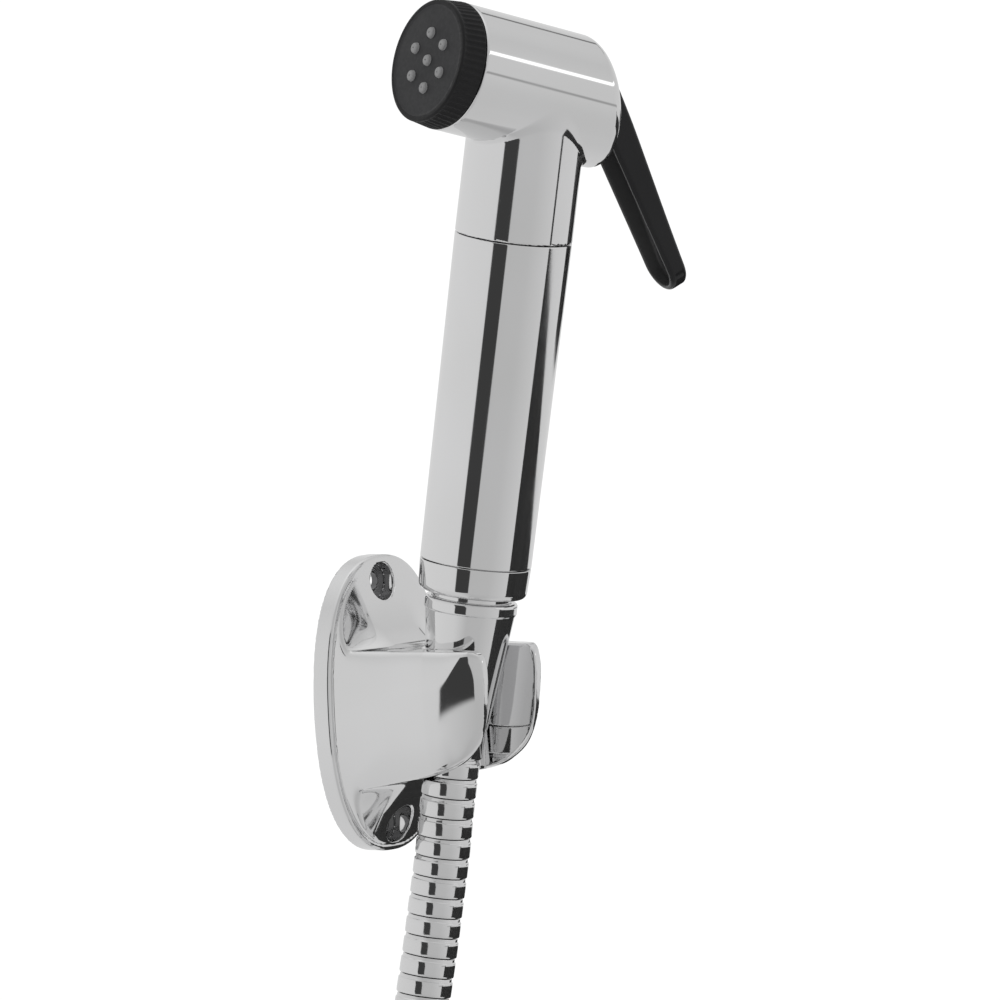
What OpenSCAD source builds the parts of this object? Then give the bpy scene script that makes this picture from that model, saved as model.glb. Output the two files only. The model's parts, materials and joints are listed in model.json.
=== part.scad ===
// Hand-held spray with a trigger lever, its wall holder and its metal hose.
// Millimetres, +Z up. The origin is on the wall, midway between the two screws,
// and the holder stands out from the wall towards -Y.

/* [Wall holder] */
// Width of the wall plate
plate_w = 49; // [46:1:60]
// Height of the wall plate
plate_h = 78; // [77:1:90]
// Thickness of the wall plate
plate_t = 5.4; // [4:0.2:7]
// Distance between the two screw holes
screw_spacing = 64; // [60:1:65]
// Diameter of the holes for the wall screws
screw_hole_d = 4.6; // [3.6:0.2:5.4]
// Diameter of the recesses for the screw heads
screw_head_d = 9.6; // [8:0.2:10]
// Depth of the plate left under each screw head
screw_floor = 2.4; // [1.6:0.2:3]
// Distance from the wall to the seat's axis, measured at the origin's height
seat_reach = 29.4; // [28:0.2:34]
// Height of the cup's top edge above the origin
cup_top = 15.3; // [12:0.1:17]
// Depth of the cup and arm, from the top edge to the underside
cup_depth = 32; // [28:0.2:36]
// Wall of the cup beside the nut
cup_wall = 8.3; // [7.4:0.1:9]
// How far the two jaws reach past the seat's axis
jaw_reach = 18.8; // [16:0.2:22]
// Thickness of a jaw at its front edge
jaw_t = 2; // [1.6:0.1:2.8]
// Width of the slot between the two jaws
slot_w = 20; // [17:0.2:20.4]
// Radius of the hollows where the arm meets the plate
arm_fillet = 8; // [5:0.5:10]

/* [How the handset hangs] */
// Lean of the handset away from the wall
lean_out = 9.4; // [7:0.2:11]
// Lean of the handset to the right, seen from the room
lean_side = 2.7; // [0:0.1:4]
// Turn of the head about the handle, from straight to the right
head_turn = 159; // [90:1:200]

/* [Hose] */
// Outer diameter of the hose over its ribs
hose_d = 14.5; // [13:0.5:14.5]
// Inner diameter of the hose
hose_bore_d = 9; // [7:0.5:10]
// Whole length of the hose between its two ferrules
hose_length = 1000; // [900:10:1060]
// Distance from one rib to the next
rib_pitch = 5.4; // [5.4:0.1:7]
// Depth of the groove between two ribs
rib_depth = 0.8; // [0.4:0.1:1]
// Radius of the stored coil, at the middle of the hose
coil_r = 80; // [78:1:86]
// Gap between two turns of the coil
coil_gap = 1; // [0.8:0.1:2]

/* [Hose fittings] */
// Outer diameter of the pipe thread on both ends of the hose (G 1/2)
thread_d = 20.9; // [20.5:0.1:21]
// Length of the ferrule that shows under the conical nut
ferrule_l = 7.8; // [6:0.2:10]
// Wall of the ferrule over the hose's diameter
ferrule_wall = 0.5; // [0.3:0.1:0.8]
// Diameter of the hollow stem inside the nuts
insert_d = 12.8; // [11.6:0.2:13.4]
// Length of the conical nut
nut_l = 34.4; // [32:0.2:40]
// Diameter of the conical nut's cone at its top
nut_top_d = 23.8; // [23.4:0.1:25]
// Diameter of the conical nut at its bottom
nut_low_d = 16.4; // [16:0.1:17]
// Height of the rounded rim on the conical nut
nut_rim_h = 3.4; // [2:0.1:4]
// How far the rim stands out from the cone
nut_rim_out = 0.4; // [0.2:0.1:0.8]
// Width across the flats of the hexagonal supply nut
hex_af = 24; // [23.6:0.2:27]
// Length of the hexagonal supply nut
hex_l = 17; // [15:0.5:20]

/* [Handle] */
// Height of the end collar
collar_h = 8.2; // [7:0.2:12]
// Length of the handle tube
tube_l = 86.5; // [70:0.5:110]
// Diameter of the handle at the collar
grip_low_d = 29.4; // [28.8:0.1:31]
// Diameter of the handle at the neck
grip_top_d = 31; // [29:0.1:32]
// Wall of the handle tube
grip_wall = 2.2; // [1.6:0.1:2.4]
// Outer diameter of the water tube inside the handle
water_tube_d = 14.6; // [13:0.2:15]
// Wall of the water tube
water_tube_wall = 2.4; // [2:0.1:2.8]

/* [Head] */
// Height of the barrel's centre above the neck's lower edge
neck_h = 39.6; // [36:0.2:50]
// Rise of the spray direction above square to the handle
spray_rise = 10.7; // [6:0.1:15]
// Diameter of the barrel at its mouth
barrel_d = 34.2; // [33.6:0.1:36]
// How much thinner the barrel is at its back
barrel_taper = 0.6; // [0:0.1:1]
// Distance from the handle's axis to the barrel's mouth
mouth_x = 26.2; // [25.6:0.1:30]
// Distance from the handle's axis to the barrel's back, on its centre line
back_x = 19.7; // [19.4:0.1:21]
// Slant of the barrel's back face
back_slant = 17; // [15:1:20]
// Diameter of the bore at the barrel's mouth
mouth_bore_d = 28; // [27:0.2:29]
// Diameter of the bore for the valve
valve_bore_d = 16.2; // [15.4:0.1:17]

/* [Spray cap] */
// Diameter of the spray cap
cap_d = 34.4; // [33:0.1:36]
// Depth of the cap's rim in front of the barrel
cap_depth = 7; // [6:0.2:10]
// Thickness of the cap's face
face_t = 2.4; // [1.8:0.1:3]
// Number of flutes round the cap
flute_count = 60; // [36:2:72]
// Radius of the ring of nozzles
nozzle_ring_r = 7.4; // [6:0.1:8.4]
// Number of nozzles in the ring
nozzle_count = 6; // [5:1:8]
// Diameter of one nozzle
nozzle_d = 2.8; // [2:0.1:3]
// How far the nozzles stand out of the face
nozzle_out = 0.7; // [0.4:0.1:1.5]

/* [Lever and valve] */
// Width of the lever
lever_w = 13.4; // [12:0.2:14]
// Length of the lever below its pin
lever_l = 68; // [60:0.5:80]
// Thickness of the lever near the barrel
lever_t_top = 8.2; // [7.4:0.1:8.4]
// Thickness of the lever near its tip
lever_t_tip = 5.3; // [4:0.1:6]
// Wall of the hollow lever
lever_wall = 1.6; // [1.2:0.1:2]
// Angle between the lever and the barrel's cross plane
lever_splay = 42.2; // [42:0.2:46]
// Distance from the handle's axis back to the lever's pin
pin_x = 13.4; // [13.2:0.1:13.8]
// Height of the lever's pin above the barrel's centre line
pin_z = 8.6; // [8.4:0.1:8.8]
// Diameter of the lever's pin
pin_d = 3; // [2.5:0.1:3.4]
// Diameter of the valve stem
stem_d = 5; // [4:0.2:5]

/* [Hidden] */
// Clearances
run_gap = 0.06;      // round parts that turn or slide in each other
fit_gap = 0.1;       // round parts that are fixed in each other
seam_gap = 0.25;     // seams that show between two chrome parts
seat_gap = 0.35;     // between the conical nut and its seat, and at the lever's stop
slot_gap = 0.4;      // each side of a part that moves through a slot
washer_gap = 0.05;   // above and under a sealing washer
eps = 0.01;
$fn = 64;

// Heights along the handset's axis, from the seat's point at z = 0
ferrule_z = -13.9;
nut_z = ferrule_z + ferrule_l;
nut_top_z = nut_z + nut_l;
cone_top_z = nut_top_z - nut_rim_h;
collar_z = nut_top_z + 1.3;
tube_z = collar_z + collar_h + seam_gap;
neck_z = tube_z + tube_l + seam_gap;
head_z = neck_z + neck_h;

// Hose fittings
ferrule_r = hose_d / 2 + ferrule_wall;
insert_r = insert_d / 2;
insert_bore_r = insert_r - 1.6;
thread_r = thread_d / 2;
nut_bore_r = thread_r + fit_gap;
nut_bore_l = 9.8;
washer_t = 2;
washer_r = nut_bore_r - 0.8;
flange_t = 2.6;
flange_r = 8.8;
nipple_end_z = nut_top_z - nut_bore_l + 0.6;
flange_top_z = nipple_end_z - washer_t - 2 * washer_gap;
shoulder_z = flange_top_z - flange_t - washer_gap;

// Inlet nipple and the tubes above it
nipple_flange_t = 3;
collar_lip = 1.3;
spigot_l = 14;
nipple_bore_r = 4.6;
grip_bore_r = grip_low_d / 2 - grip_wall;
tube_socket_r = water_tube_d / 2 + fit_gap;
spigot_r = grip_bore_r - fit_gap;
flange_z = collar_z + collar_lip;
spigot_z = flange_z + nipple_flange_t;
water_tube_z = flange_z + 1;
socket_top_z = head_z - barrel_d / 2 - 0.4;
ring_wire = 0.8;
ring_depth = 1.6;
passage_r = 4.4;

// Holder
slot_half = slot_w / 2;
nut_slope = (nut_top_d - nut_low_d) / 2 / (cone_top_z - nut_z);
seat_low_r = nut_low_d / 2 + seat_gap;
seat_cut_z = cup_top + 8;
seat_top_r = seat_low_r + (seat_cut_z - nut_z) * nut_slope;
cup_half = seat_low_r + (cup_top - nut_z) * nut_slope + cup_wall;
front_half = slot_half + jaw_t;
front_y = -seat_reach - jaw_reach;
plate_power = 2.35;
edge_inset = 1.6;
// Side shape of a jaw's nose: distance behind its front, and share of the cup's depth
nose_shape = [
    [7, 0], [4, 0], [2, 0.03], [0.9, 0.09], [0.25, 0.165], [0, 0.25], [0.2, 0.4], [0.9, 0.57], [3.2, 0.74],
    [7.2, 0.88], [12.7, 0.98], [19.2, 1.04], [26.2, 1.08], [33, 1.12]
];
// From above, each side ends in a crease beside the seat's axis, and the jaw turns in from there
crease_step = 2.6;
jaw_turn = 3.4;

// Head, along the barrel from its back to its mouth
slot_x = -8.6;
slot_low_z = -13.6;
slot_half_w = lever_w / 2 + slot_gap;
lever_head_r = 4.2;
slot_high_z = pin_z + lever_head_r + slot_gap;
gland_t = 3.2;
valve_r = valve_bore_d / 2;
valve_front_x = 10;
port_x = 0.6;
port_r = 2.4;
land_r = 4.2;
land_l = 2.8;
poppet_r = 5.4;
poppet_t = 1.2;
seal_t = 1.2;
disc_x = 18.2;
disc_t = 1.6;
gauze_t = 0.6;
gasket_t = 1.4;
mouth_bore_r = mouth_bore_d / 2;
skirt_r = mouth_bore_r - fit_gap;
skirt_bore_r = skirt_r - 2.1;
skirt_x = disc_x + disc_t + gauze_t + gasket_t;
cap_x = mouth_x + seam_gap;
face_x = cap_x + cap_depth;
mat_t = 1.6;
nozzle_turn = 14;
stem_r = stem_d / 2;
stem_neck_r = 2.2;

// Lever, in the frame on its pin
lever_offset = 1;
lever_low_z = -21;
pin_r = pin_d / 2;

// Places of the stem's round end: it lies seat_gap in front of the lever
stem_end_x = -pin_x + (lever_t_top / 2 - lever_offset + seat_gap + stem_r - pin_z * sin(lever_splay))
    / cos(lever_splay);

// Route of the free hose below its straight start: x, y, z of points chosen by hand
hose_points = [
    [-1.5, -23.4, -36.5], [-1.9, -21.9, -45.3], [-2.5, -20.4, -54.2], [-3.2, -19, -63.1],
    [-4, -17.5, -71.9], [-4.8, -16.3, -79.8], [-5.3, -15.4, -88.5], [-5, -14.9, -97.5],
    [-3.4, -14.6, -106.8], [-0.5, -14.6, -116], [3.3, -14.6, -124.6], [8, -14.6, -132.6],
    [13.6, -14.6, -140], [19.8, -14.6, -146.5], [26.5, -14.6, -152.2], [34.4, -14.6, -158.9]
];
// Where that route meets the coil: angle from the coil's top, and the straight lengths at its ends
coil_start = 40;
coil_lead = 15;
coil_tail = 30;
// The coil's last stretch moves out by this much, over this angle, so the supply nut clears the turns
end_shift = 9;
end_shift_turn = 50;
// Where the two ties hold the coil, as angles from its top
tie_angles = [105, 205];
tie_w = 8;
tie_t = 1.4;
tie_gap = 0.3;

// ---------- Places ----------

// The handset's own frame: +Z up the handle, +X the way it sprays
module at_seat() {
    translate([0, -seat_reach, 0])
        rotate([lean_out, 0, 0])
            rotate([0, lean_side, 0])
                rotate([0, 0, head_turn])
                    children();
}

// The barrel's frame: +X along the spray, origin where barrel and handle cross
module at_head() {
    at_seat()
        translate([0, 0, head_z])
            rotate([0, -spray_rise, 0])
                children();
}

// The lever's frame: origin on the pin, -Z down the lever, +X towards the handle
module at_lever() {
    at_head()
        translate([-pin_x, 0, pin_z])
            rotate([0, lever_splay, 0])
                children();
}

// ---------- Helpers ----------

// Points of an arc from angle a0 to a1
function arc(x, y, r, a0, a1, n = 8) =
    [for (i = [0:n]) let (a = a0 + (a1 - a0) * i / n) [x + r * cos(a), y + r * sin(a)]];

// Closed oval with slightly squared sides, after the formula of a superellipse
function oval(w, h, n = 72) =
    [for (i = [0:n - 1]) let (a = 360 * (i + 0.5) / n)
        [w / 2 * sign(cos(a)) * pow(abs(cos(a)), 2 / plate_power),
         h / 2 * sign(sin(a)) * pow(abs(sin(a)), 2 / plate_power)]];

// Round bar along +Z from z0 to z1
module rod_z(z0, z1, r, r_end = -1) {
    translate([0, 0, z0])
        cylinder(h = z1 - z0, r1 = r, r2 = r_end < 0 ? r : r_end);
}

// Round bar along +X from x0 to x1
module rod_x(x0, x1, r, r_end = -1) {
    rotate([0, 90, 0])
        rod_z(x0, x1, r, r_end);
}

// Round ring of round wire, about the Z axis at height z
module ring_z(z, r_mid, r_wire) {
    translate([0, 0, z])
        rotate_extrude()
            translate([r_mid, 0])
                circle(r = r_wire, $fn = 24);
}

// Round ring of round wire, about the X axis at x
module ring_x(x, r_mid, r_wire) {
    rotate([0, 90, 0])
        ring_z(x, r_mid, r_wire);
}

// ---------- Wall holder ----------

// Side outline of the arm and cup, in Y and Z, from the plate's top outwards and back below
module arm_side() {
    root_y = 1 - plate_t;
    low_z = cup_top - cup_depth;
    below_z = low_z - 4.6 - arm_fillet;
    nose = [for (p = nose_shape) [front_y + p[0], cup_top - p[1] * cup_depth]];
    polygon(concat(
        [[root_y, cup_top + arm_fillet]],
        arc(-plate_t - arm_fillet, cup_top + arm_fillet, arm_fillet, 0, -90),
        curve(nose),
        arc(-plate_t - arm_fillet, below_z, arm_fillet, 76, 0),
        [[root_y, below_z]]
    ));
}

// Smooth curve through all points but the first and the last, which only steer it
function curve(p, n = 4) = [for (i = [1:len(p) - 3]) for (k = [0:n - 1]) spline(p, i, k / n)];

// Right half of the arm's and cup's outline from above, in X and Y, from the plate outwards
function arm_half() =
    let (
        root = plate_w / 2 - edge_inset,
        side_l = seat_reach + crease_step - plate_t,
        jaw_l = jaw_reach - crease_step,
        fall = cup_half - front_half - jaw_turn,
        turn_end = atan((jaw_turn + 2 * fall) / jaw_l),
        nose_r = 0.9
    )
    concat(
        [[root, 1 - plate_t]],
        [for (t = [0:0.125:0.99]) [cup_half + (root - cup_half) * pow(1 - t, 1.8), -plate_t - side_l * t]],
        [for (t = [0:0.125:0.9]) [cup_half - jaw_turn * t - fall * t * t, -seat_reach - crease_step - jaw_l * t]],
        arc(front_half - nose_r / tan(45 + turn_end / 2), front_y + nose_r, nose_r, -turn_end, -90, 4)
    );

module arm_plan() {
    half = arm_half();
    polygon(concat(half, [for (i = [len(half) - 1:-1:0]) [-half[i][0], half[i][1]]]));
}

// Slice of the plate's oval, from y0 out to y1, its edge drawn in
module plate_slice(y0, y1, inset) {
    translate([0, -y0, 0])
        rotate([90, 0, 0])
            linear_extrude(y1 - y0)
                polygon(oval(plate_w - 2 * inset, plate_h - 2 * inset));
}

module holder() {
    color("silver")
        difference() {
            union() {
                plate_slice(0, plate_t - 1.2, 0);
                plate_slice(plate_t - 1.2 - eps, plate_t - 0.5, 0.4);
                plate_slice(plate_t - 0.5 - eps, plate_t, 1.1);
                intersection() {
                    translate([-plate_w / 2, 0, 0])
                        rotate([90, 0, 90])
                            linear_extrude(plate_w)
                                arm_side();
                    translate([0, 0, -plate_h / 2])
                        linear_extrude(plate_h)
                            arm_plan();
                    plate_slice(1, -front_y + 1, edge_inset);
                }
            }
            for (side = [-1, 1])
                translate([0, 0, side * screw_spacing / 2])
                    rotate([90, 0, 0]) {
                        translate([0, 0, -1])
                            cylinder(h = plate_t + 2, d = screw_hole_d);
                        translate([0, 0, screw_floor])
                            cylinder(h = 2 * arm_fillet + plate_t, d = screw_head_d);
                    }
            at_seat() {
                rod_z(nut_z, seat_cut_z, seat_low_r, seat_top_r);
                rod_z(-cup_depth, nut_z + eps, seat_low_r);
            }
            translate([-slot_half, -seat_reach - 2 * jaw_reach, -cup_depth])
                cube([2 * slot_half, 2 * jaw_reach, 2 * cup_depth]);
        }
}

// ---------- Hose ----------

hose_axis = [sin(lean_side), -cos(lean_side) * sin(lean_out), cos(lean_side) * cos(lean_out)];
hose_start = [0, -seat_reach, 0] + ferrule_z * hose_axis;
lead_dir = [cos(coil_start), 0, -sin(coil_start)];
run_end = hose_points[len(hose_points) - 1];

// Curve between p[i] and p[i + 1] at t, through all the points
function spline(p, i, t) =
    0.5 * (2 * p[i] + (p[i + 1] - p[i - 1]) * t
        + (2 * p[i - 1] - 5 * p[i] + 4 * p[i + 1] - p[i + 2]) * t * t
        + (3 * p[i] - p[i - 1] - 3 * p[i + 1] + p[i + 2]) * t * t * t);

// Free run: the straight start, then the hand-chosen points; its two outer points only steer it
run_guides = concat(
    [hose_start + hose_d * hose_axis, hose_start, hose_start - hose_d * hose_axis],
    hose_points,
    [run_end + 10 * lead_dir]
);
run_steps = 8;
run_line = concat(
    [for (i = [1:len(run_guides) - 3]) for (k = [0:run_steps - 1]) spline(run_guides, i, k / run_steps)],
    [run_end]
);

// Distance along a line of points, up to each of them
function distances(p) =
    [for (i = 0, s = 0; i < len(p); s = s + (i + 1 < len(p) ? norm(p[i + 1] - p[i]) : 0), i = i + 1) s];

run_s = distances(run_line);
run_l = run_s[len(run_s) - 1];

// Coil: straight lead, turns about an axis along Y, straight tail
coil_pitch = hose_d + coil_gap;
coil_entry = run_end + coil_lead * lead_dir;
coil_x = coil_entry[0] - coil_r * sin(coil_start);
coil_z = coil_entry[2] - coil_r * cos(coil_start);
turn_l = sqrt(pow(2 * PI * coil_r, 2) + coil_pitch * coil_pitch);
coil_turn = (hose_length - run_l - coil_lead - coil_tail) / turn_l * 360;
coil_end = coil_start + coil_turn;
coil_steps = 200;

function smooth(t) = t * t * (3 - 2 * t);
function coil_y(a) = coil_entry[1] - coil_pitch * (a - coil_start) / 360
    - end_shift * smooth(max(0, 1 - (coil_end - a) / end_shift_turn));
function coil_point(a) = [coil_x + coil_r * sin(a), coil_y(a), coil_z + coil_r * cos(a)];
tail_dir = [cos(coil_end), 0, -sin(coil_end)];
coil_line = concat(
    [run_end],
    [for (i = [0:coil_steps]) coil_point(coil_start + coil_turn * i / coil_steps)],
    [coil_point(coil_end) + coil_tail * tail_dir]
);
coil_s = distances(coil_line);
coil_l = coil_s[len(coil_s) - 1];
supply_point = coil_line[len(coil_line) - 1];

// Point on a line of points at distance s
function at_distance(p, d, s) =
    [for (axis = [0:2]) lookup(s, [for (i = [0:len(p) - 1]) [d[i], p[i][axis]]])];

function unit(v) = v / norm(v);

// Ring of a tube at distance s: eight points, square to the line
function tube_ring(p, d, s, total, r, sides = 8) =
    let (
        c = at_distance(p, d, s),
        t = unit(at_distance(p, d, min(s + 0.5, total)) - at_distance(p, d, max(s - 0.5, 0))),
        y = [0, 1, 0],
        u = unit(y - (y * t) * t),
        v = cross(t, u)
    )
    [for (k = [0:sides - 1]) let (a = 360 * (k + 0.5) / sides) c + r * (cos(a) * u + sin(a) * v)];

// Faces of the skin between two rings that start at points a and b
function band(a, b, sides) =
    [for (k = [0:sides - 1]) let (n = (k + 1) % sides)
        each [[a + k, b + n, a + n], [a + k, b + k, b + n]]];

// Ribbed tube with its bore, one closed solid of triangles
module ribbed_tube(p, d, total) {
    sides = 8;
    ribs = floor(total / rib_pitch);
    pitch = total / ribs;
    bore_steps = ceil(total / 20);
    outer_r = hose_d / 2;
    skin = concat(
        [for (i = [0:ribs - 1]) each [
            tube_ring(p, d, i * pitch, total, outer_r - rib_depth, sides),
            tube_ring(p, d, (i + 0.5) * pitch, total, outer_r, sides)
        ]],
        [tube_ring(p, d, total, total, outer_r - rib_depth, sides)]
    );
    bore = [for (i = [0:bore_steps])
        tube_ring(p, d, total * i / bore_steps, total, hose_bore_d / 2, sides)];
    bore_0 = len(skin) * sides;
    skin_end = (len(skin) - 1) * sides;
    bore_end = bore_0 + bore_steps * sides;
    polyhedron(
        points = [for (ring = concat(skin, bore)) each ring],
        faces = concat(
            [for (i = [0:len(skin) - 2]) each band(i * sides, (i + 1) * sides, sides)],
            [for (i = [0:bore_steps - 1]) each band(bore_0 + (i + 1) * sides, bore_0 + i * sides, sides)],
            band(bore_0, 0, sides),
            band(skin_end, bore_end, sides)
        )
    );
}

module hose_run() {
    color("silver") ribbed_tube(run_line, run_s, run_l);
}

module hose_coil() {
    color("silver") ribbed_tube(coil_line, coil_s, coil_l);
}

// Least distance between the skins of two turns, on points along the whole hose
gap_line = concat([for (i = [0:4:len(run_line) - 1]) run_line[i]],
    [for (i = [1:coil_steps]) coil_line[i]]);
gap_s = distances(gap_line);
least_gap = min([for (i = [0:len(gap_line) - 1]) for (j = [i + 1:1:len(gap_line) - 1])
    gap_s[j] - gap_s[i] > 4 * hose_d ? norm(gap_line[j] - gap_line[i]) - hose_d : hose_d]);
echo(free_run = run_l, coil = coil_l, whole_hose = run_l + coil_l, turns = coil_turn / 360);
echo(least_gap_to_itself = least_gap);
echo(supply_at = supply_point, supply_out = tail_dir);

// Two straps round both turns of the coil
module coil_ties() {
    outer = hose_d / 2 + tie_gap + tie_t;
    color("dimgray")
        for (a = tie_angles)
            translate([coil_x, (coil_y(a) + coil_y(a + 360)) / 2, coil_z])
                rotate([0, a, 0])
                    translate([-tie_w / 2, 0, coil_r])
                        rotate([90, 0, 90])
                            linear_extrude(tie_w)
                                difference() {
                                    tie_outline(outer);
                                    tie_outline(outer - tie_t);
                                }
}

module tie_outline(r) {
    for (side = [-1, 1])
        translate([side * coil_pitch / 2, 0])
            circle(r = r);
    square([coil_pitch, 2 * r], center = true);
}

// ---------- Hose fittings ----------

// Frame at the hose's far end, +Z out of it
module at_supply() {
    translate(supply_point)
        rotate([0, 90 + coil_end, 0])
            children();
}

// Ferrule, hollow stem and flange: z0 is the hose's end, z1 the flange's underside
module ferrule(z0, z1, z2, collar_l) {
    difference() {
        union() {
            rod_z(z0, z0 + collar_l, ferrule_r);
            rod_z(z0, z2, insert_r);
            rod_z(z1, z2, flange_r);
        }
        rod_z(z0 - 1, z2 + 1, insert_bore_r);
    }
}

module hose_ferrule() {
    color("silver")
        at_seat()
            ferrule(ferrule_z, shoulder_z + washer_gap, flange_top_z, ferrule_l - seam_gap);
}

supply_nut_z = ferrule_l + seam_gap;
supply_floor = 2.6;
supply_top_z = supply_nut_z + supply_floor + flange_t + washer_t + 3 * washer_gap;
// The thread ends in a plain groove before it reaches the washer
thread_relief = 0.35;
thread_runout = 2.3;

module supply_ferrule() {
    color("silver")
        at_supply()
            ferrule(0, supply_nut_z + supply_floor + washer_gap,
                supply_nut_z + supply_floor + washer_gap + flange_t, ferrule_l);
}

module supply_washer() {
    z = supply_top_z - washer_t - washer_gap;
    color("dimgray")
        at_supply()
            difference() {
                rod_z(z, z + washer_t, washer_r);
                rod_z(z - 1, z + washer_t + 1, insert_bore_r);
            }
}

module supply_nut() {
    color("silver")
        at_supply()
            difference() {
                intersection() {
                    translate([0, 0, supply_nut_z])
                        cylinder(h = hex_l, d = hex_af / cos(30), $fn = 6);
                    rod_z(supply_nut_z, supply_nut_z + hex_l, hex_af / 2 + 0.2 + hex_l, hex_af / 2 + 0.2);
                    rod_z(supply_nut_z, supply_nut_z + hex_l, hex_af / 2 + 0.2, hex_af / 2 + 0.2 + hex_l);
                }
                rod_z(supply_nut_z - 1, supply_nut_z + supply_floor + 1, insert_r + run_gap);
                rod_z(supply_nut_z + supply_floor, supply_top_z + thread_runout, nut_bore_r + thread_relief);
                rod_z(supply_top_z, supply_nut_z + hex_l + 1, nut_bore_r);
            }
}

module conical_nut() {
    rim_r = nut_top_d / 2 + nut_rim_out;
    round_r = nut_rim_h * 0.42;
    color("silver")
        at_seat()
            difference() {
                rotate_extrude()
                    polygon(concat(
                        [[0, nut_z], [nut_low_d / 2, nut_z], [nut_top_d / 2, cone_top_z]],
                        arc(rim_r - round_r, cone_top_z + round_r, round_r, -60, 0, 4),
                        arc(rim_r - round_r, nut_top_z - round_r, round_r, 0, 90, 5),
                        [[0, nut_top_z]]
                    ));
                rod_z(nut_z - 1, shoulder_z + 1, insert_r + run_gap);
                rod_z(shoulder_z, nut_top_z - nut_bore_l + 1, flange_r + 0.3);
                rod_z(nut_top_z - nut_bore_l, nut_top_z + 1, nut_bore_r);
            }
}

module hose_washer() {
    color("dimgray")
        at_seat()
            difference() {
                rod_z(flange_top_z + washer_gap, nipple_end_z - washer_gap, flange_r - 0.1);
                rod_z(flange_top_z - 1, nipple_end_z + 1, insert_bore_r);
            }
}

// ---------- Handle ----------

module inlet_nipple() {
    color("goldenrod")
        at_seat()
            difference() {
                union() {
                    rod_z(nipple_end_z, flange_z + 1, thread_r);
                    rod_z(flange_z, spigot_z, spigot_r + 0.6);
                    rod_z(spigot_z, spigot_z + spigot_l, spigot_r);
                }
                rod_z(nipple_end_z - 1, water_tube_z + 1, nipple_bore_r);
                rod_z(water_tube_z, spigot_z + spigot_l + 1, tube_socket_r);
            }
}

module end_collar() {
    low_r = grip_low_d / 2 - 0.4;
    round_r = 3;
    color("silver")
        at_seat()
            difference() {
                rotate_extrude()
                    polygon(concat(
                        [[0, collar_z]],
                        arc(low_r - round_r, collar_z + round_r, round_r, -90, 0, 8),
                        [[grip_low_d / 2, collar_z + collar_h], [0, collar_z + collar_h]]
                    ));
                rod_z(collar_z - 1, collar_z + collar_lip + 1, thread_r + fit_gap);
                rod_z(flange_z, collar_z + collar_h + 1, spigot_r + 0.6 + fit_gap);
            }
}

module handle_tube() {
    color("silver")
        at_seat()
            difference() {
                rod_z(tube_z, tube_z + tube_l, grip_low_d / 2, grip_top_d / 2);
                rod_z(tube_z - 1, tube_z + tube_l + 1, grip_bore_r);
            }
}

// Heights of the two grooves for the water tube's sealing rings
ring_heights = [spigot_z + spigot_l - 5, socket_top_z - 5];

module water_tube() {
    color("lightgray")
        at_seat()
            difference() {
                rod_z(water_tube_z + washer_gap, socket_top_z - washer_gap, water_tube_d / 2);
                rod_z(water_tube_z - 1, socket_top_z + 1, water_tube_d / 2 - water_tube_wall);
                for (z = ring_heights)
                    difference() {
                        rod_z(z - 1, z + 1, water_tube_d);
                        rod_z(z - 2, z + 2, water_tube_d / 2 - ring_depth);
                    }
            }
}

module tube_orings() {
    color("dimgray")
        at_seat()
            for (z = ring_heights)
                ring_z(z, tube_socket_r - 0.03 - ring_wire, ring_wire);
}

// ---------- Head ----------

// Radius of the barrel at x
function barrel_r(x) = barrel_d / 2 - barrel_taper / 2 * (mouth_x - x) / (mouth_x + back_x);

module head_body() {
    tail = back_x + 8;
    color("silver")
        difference() {
            union() {
                at_head()
                    difference() {
                        rod_x(-tail, mouth_x, barrel_r(-tail), barrel_r(mouth_x));
                        translate([-back_x, 0, 0])
                            rotate([0, back_slant, 0])
                                translate([-2 * tail, -barrel_d, -barrel_d])
                                    cube([2 * tail, 2 * barrel_d, 2 * barrel_d]);
                    }
                at_seat()
                    rod_z(neck_z, head_z, grip_top_d / 2);
                at_seat()
                    rod_z(neck_z - 6, neck_z + 1, grip_bore_r - fit_gap);
            }
            at_seat() {
                rod_z(neck_z - 7, socket_top_z, tube_socket_r);
                rod_z(socket_top_z - 1, head_z, passage_r);
            }
            at_head() {
                rod_x(valve_front_x, mouth_x + 1, mouth_bore_r);
                rod_x(slot_x - 1, valve_front_x + 1, valve_r);
                translate([-2 * tail, -slot_half_w, slot_low_z])
                    cube([2 * tail + slot_x, 2 * slot_half_w, slot_high_z - slot_low_z]);
                translate([-pin_x, 0, pin_z])
                    rotate([90, 0, 0])
                        translate([0, 0, -11.7])
                            cylinder(h = 11.7 + barrel_d, r = pin_r + 0.02);
            }
        }
}

module gland_nut() {
    color("goldenrod")
        at_head()
            difference() {
                rod_x(slot_x, slot_x + gland_t, valve_r - fit_gap);
                rod_x(slot_x - 1, slot_x + gland_t + 1, stem_r + run_gap);
            }
}

sleeve_x = slot_x + gland_t + washer_gap;
sleeve_ring_x = valve_front_x - 3;

module valve_sleeve() {
    color("goldenrod")
        at_head()
            difference() {
                rod_x(sleeve_x, valve_front_x, valve_r - fit_gap);
                rod_x(sleeve_x - 1, valve_front_x + 1, land_r);
                translate([port_x, 0, -valve_r - 1])
                    cylinder(h = valve_r + 1, r = port_r);
                difference() {
                    rod_x(sleeve_ring_x - 1, sleeve_ring_x + 1, valve_r + 1);
                    rod_x(sleeve_ring_x - 2, sleeve_ring_x + 2, valve_r - ring_depth - fit_gap);
                }
            }
}

module sleeve_oring() {
    color("dimgray")
        at_head()
            ring_x(sleeve_ring_x, valve_r - 0.03 - ring_wire, ring_wire);
}

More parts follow.
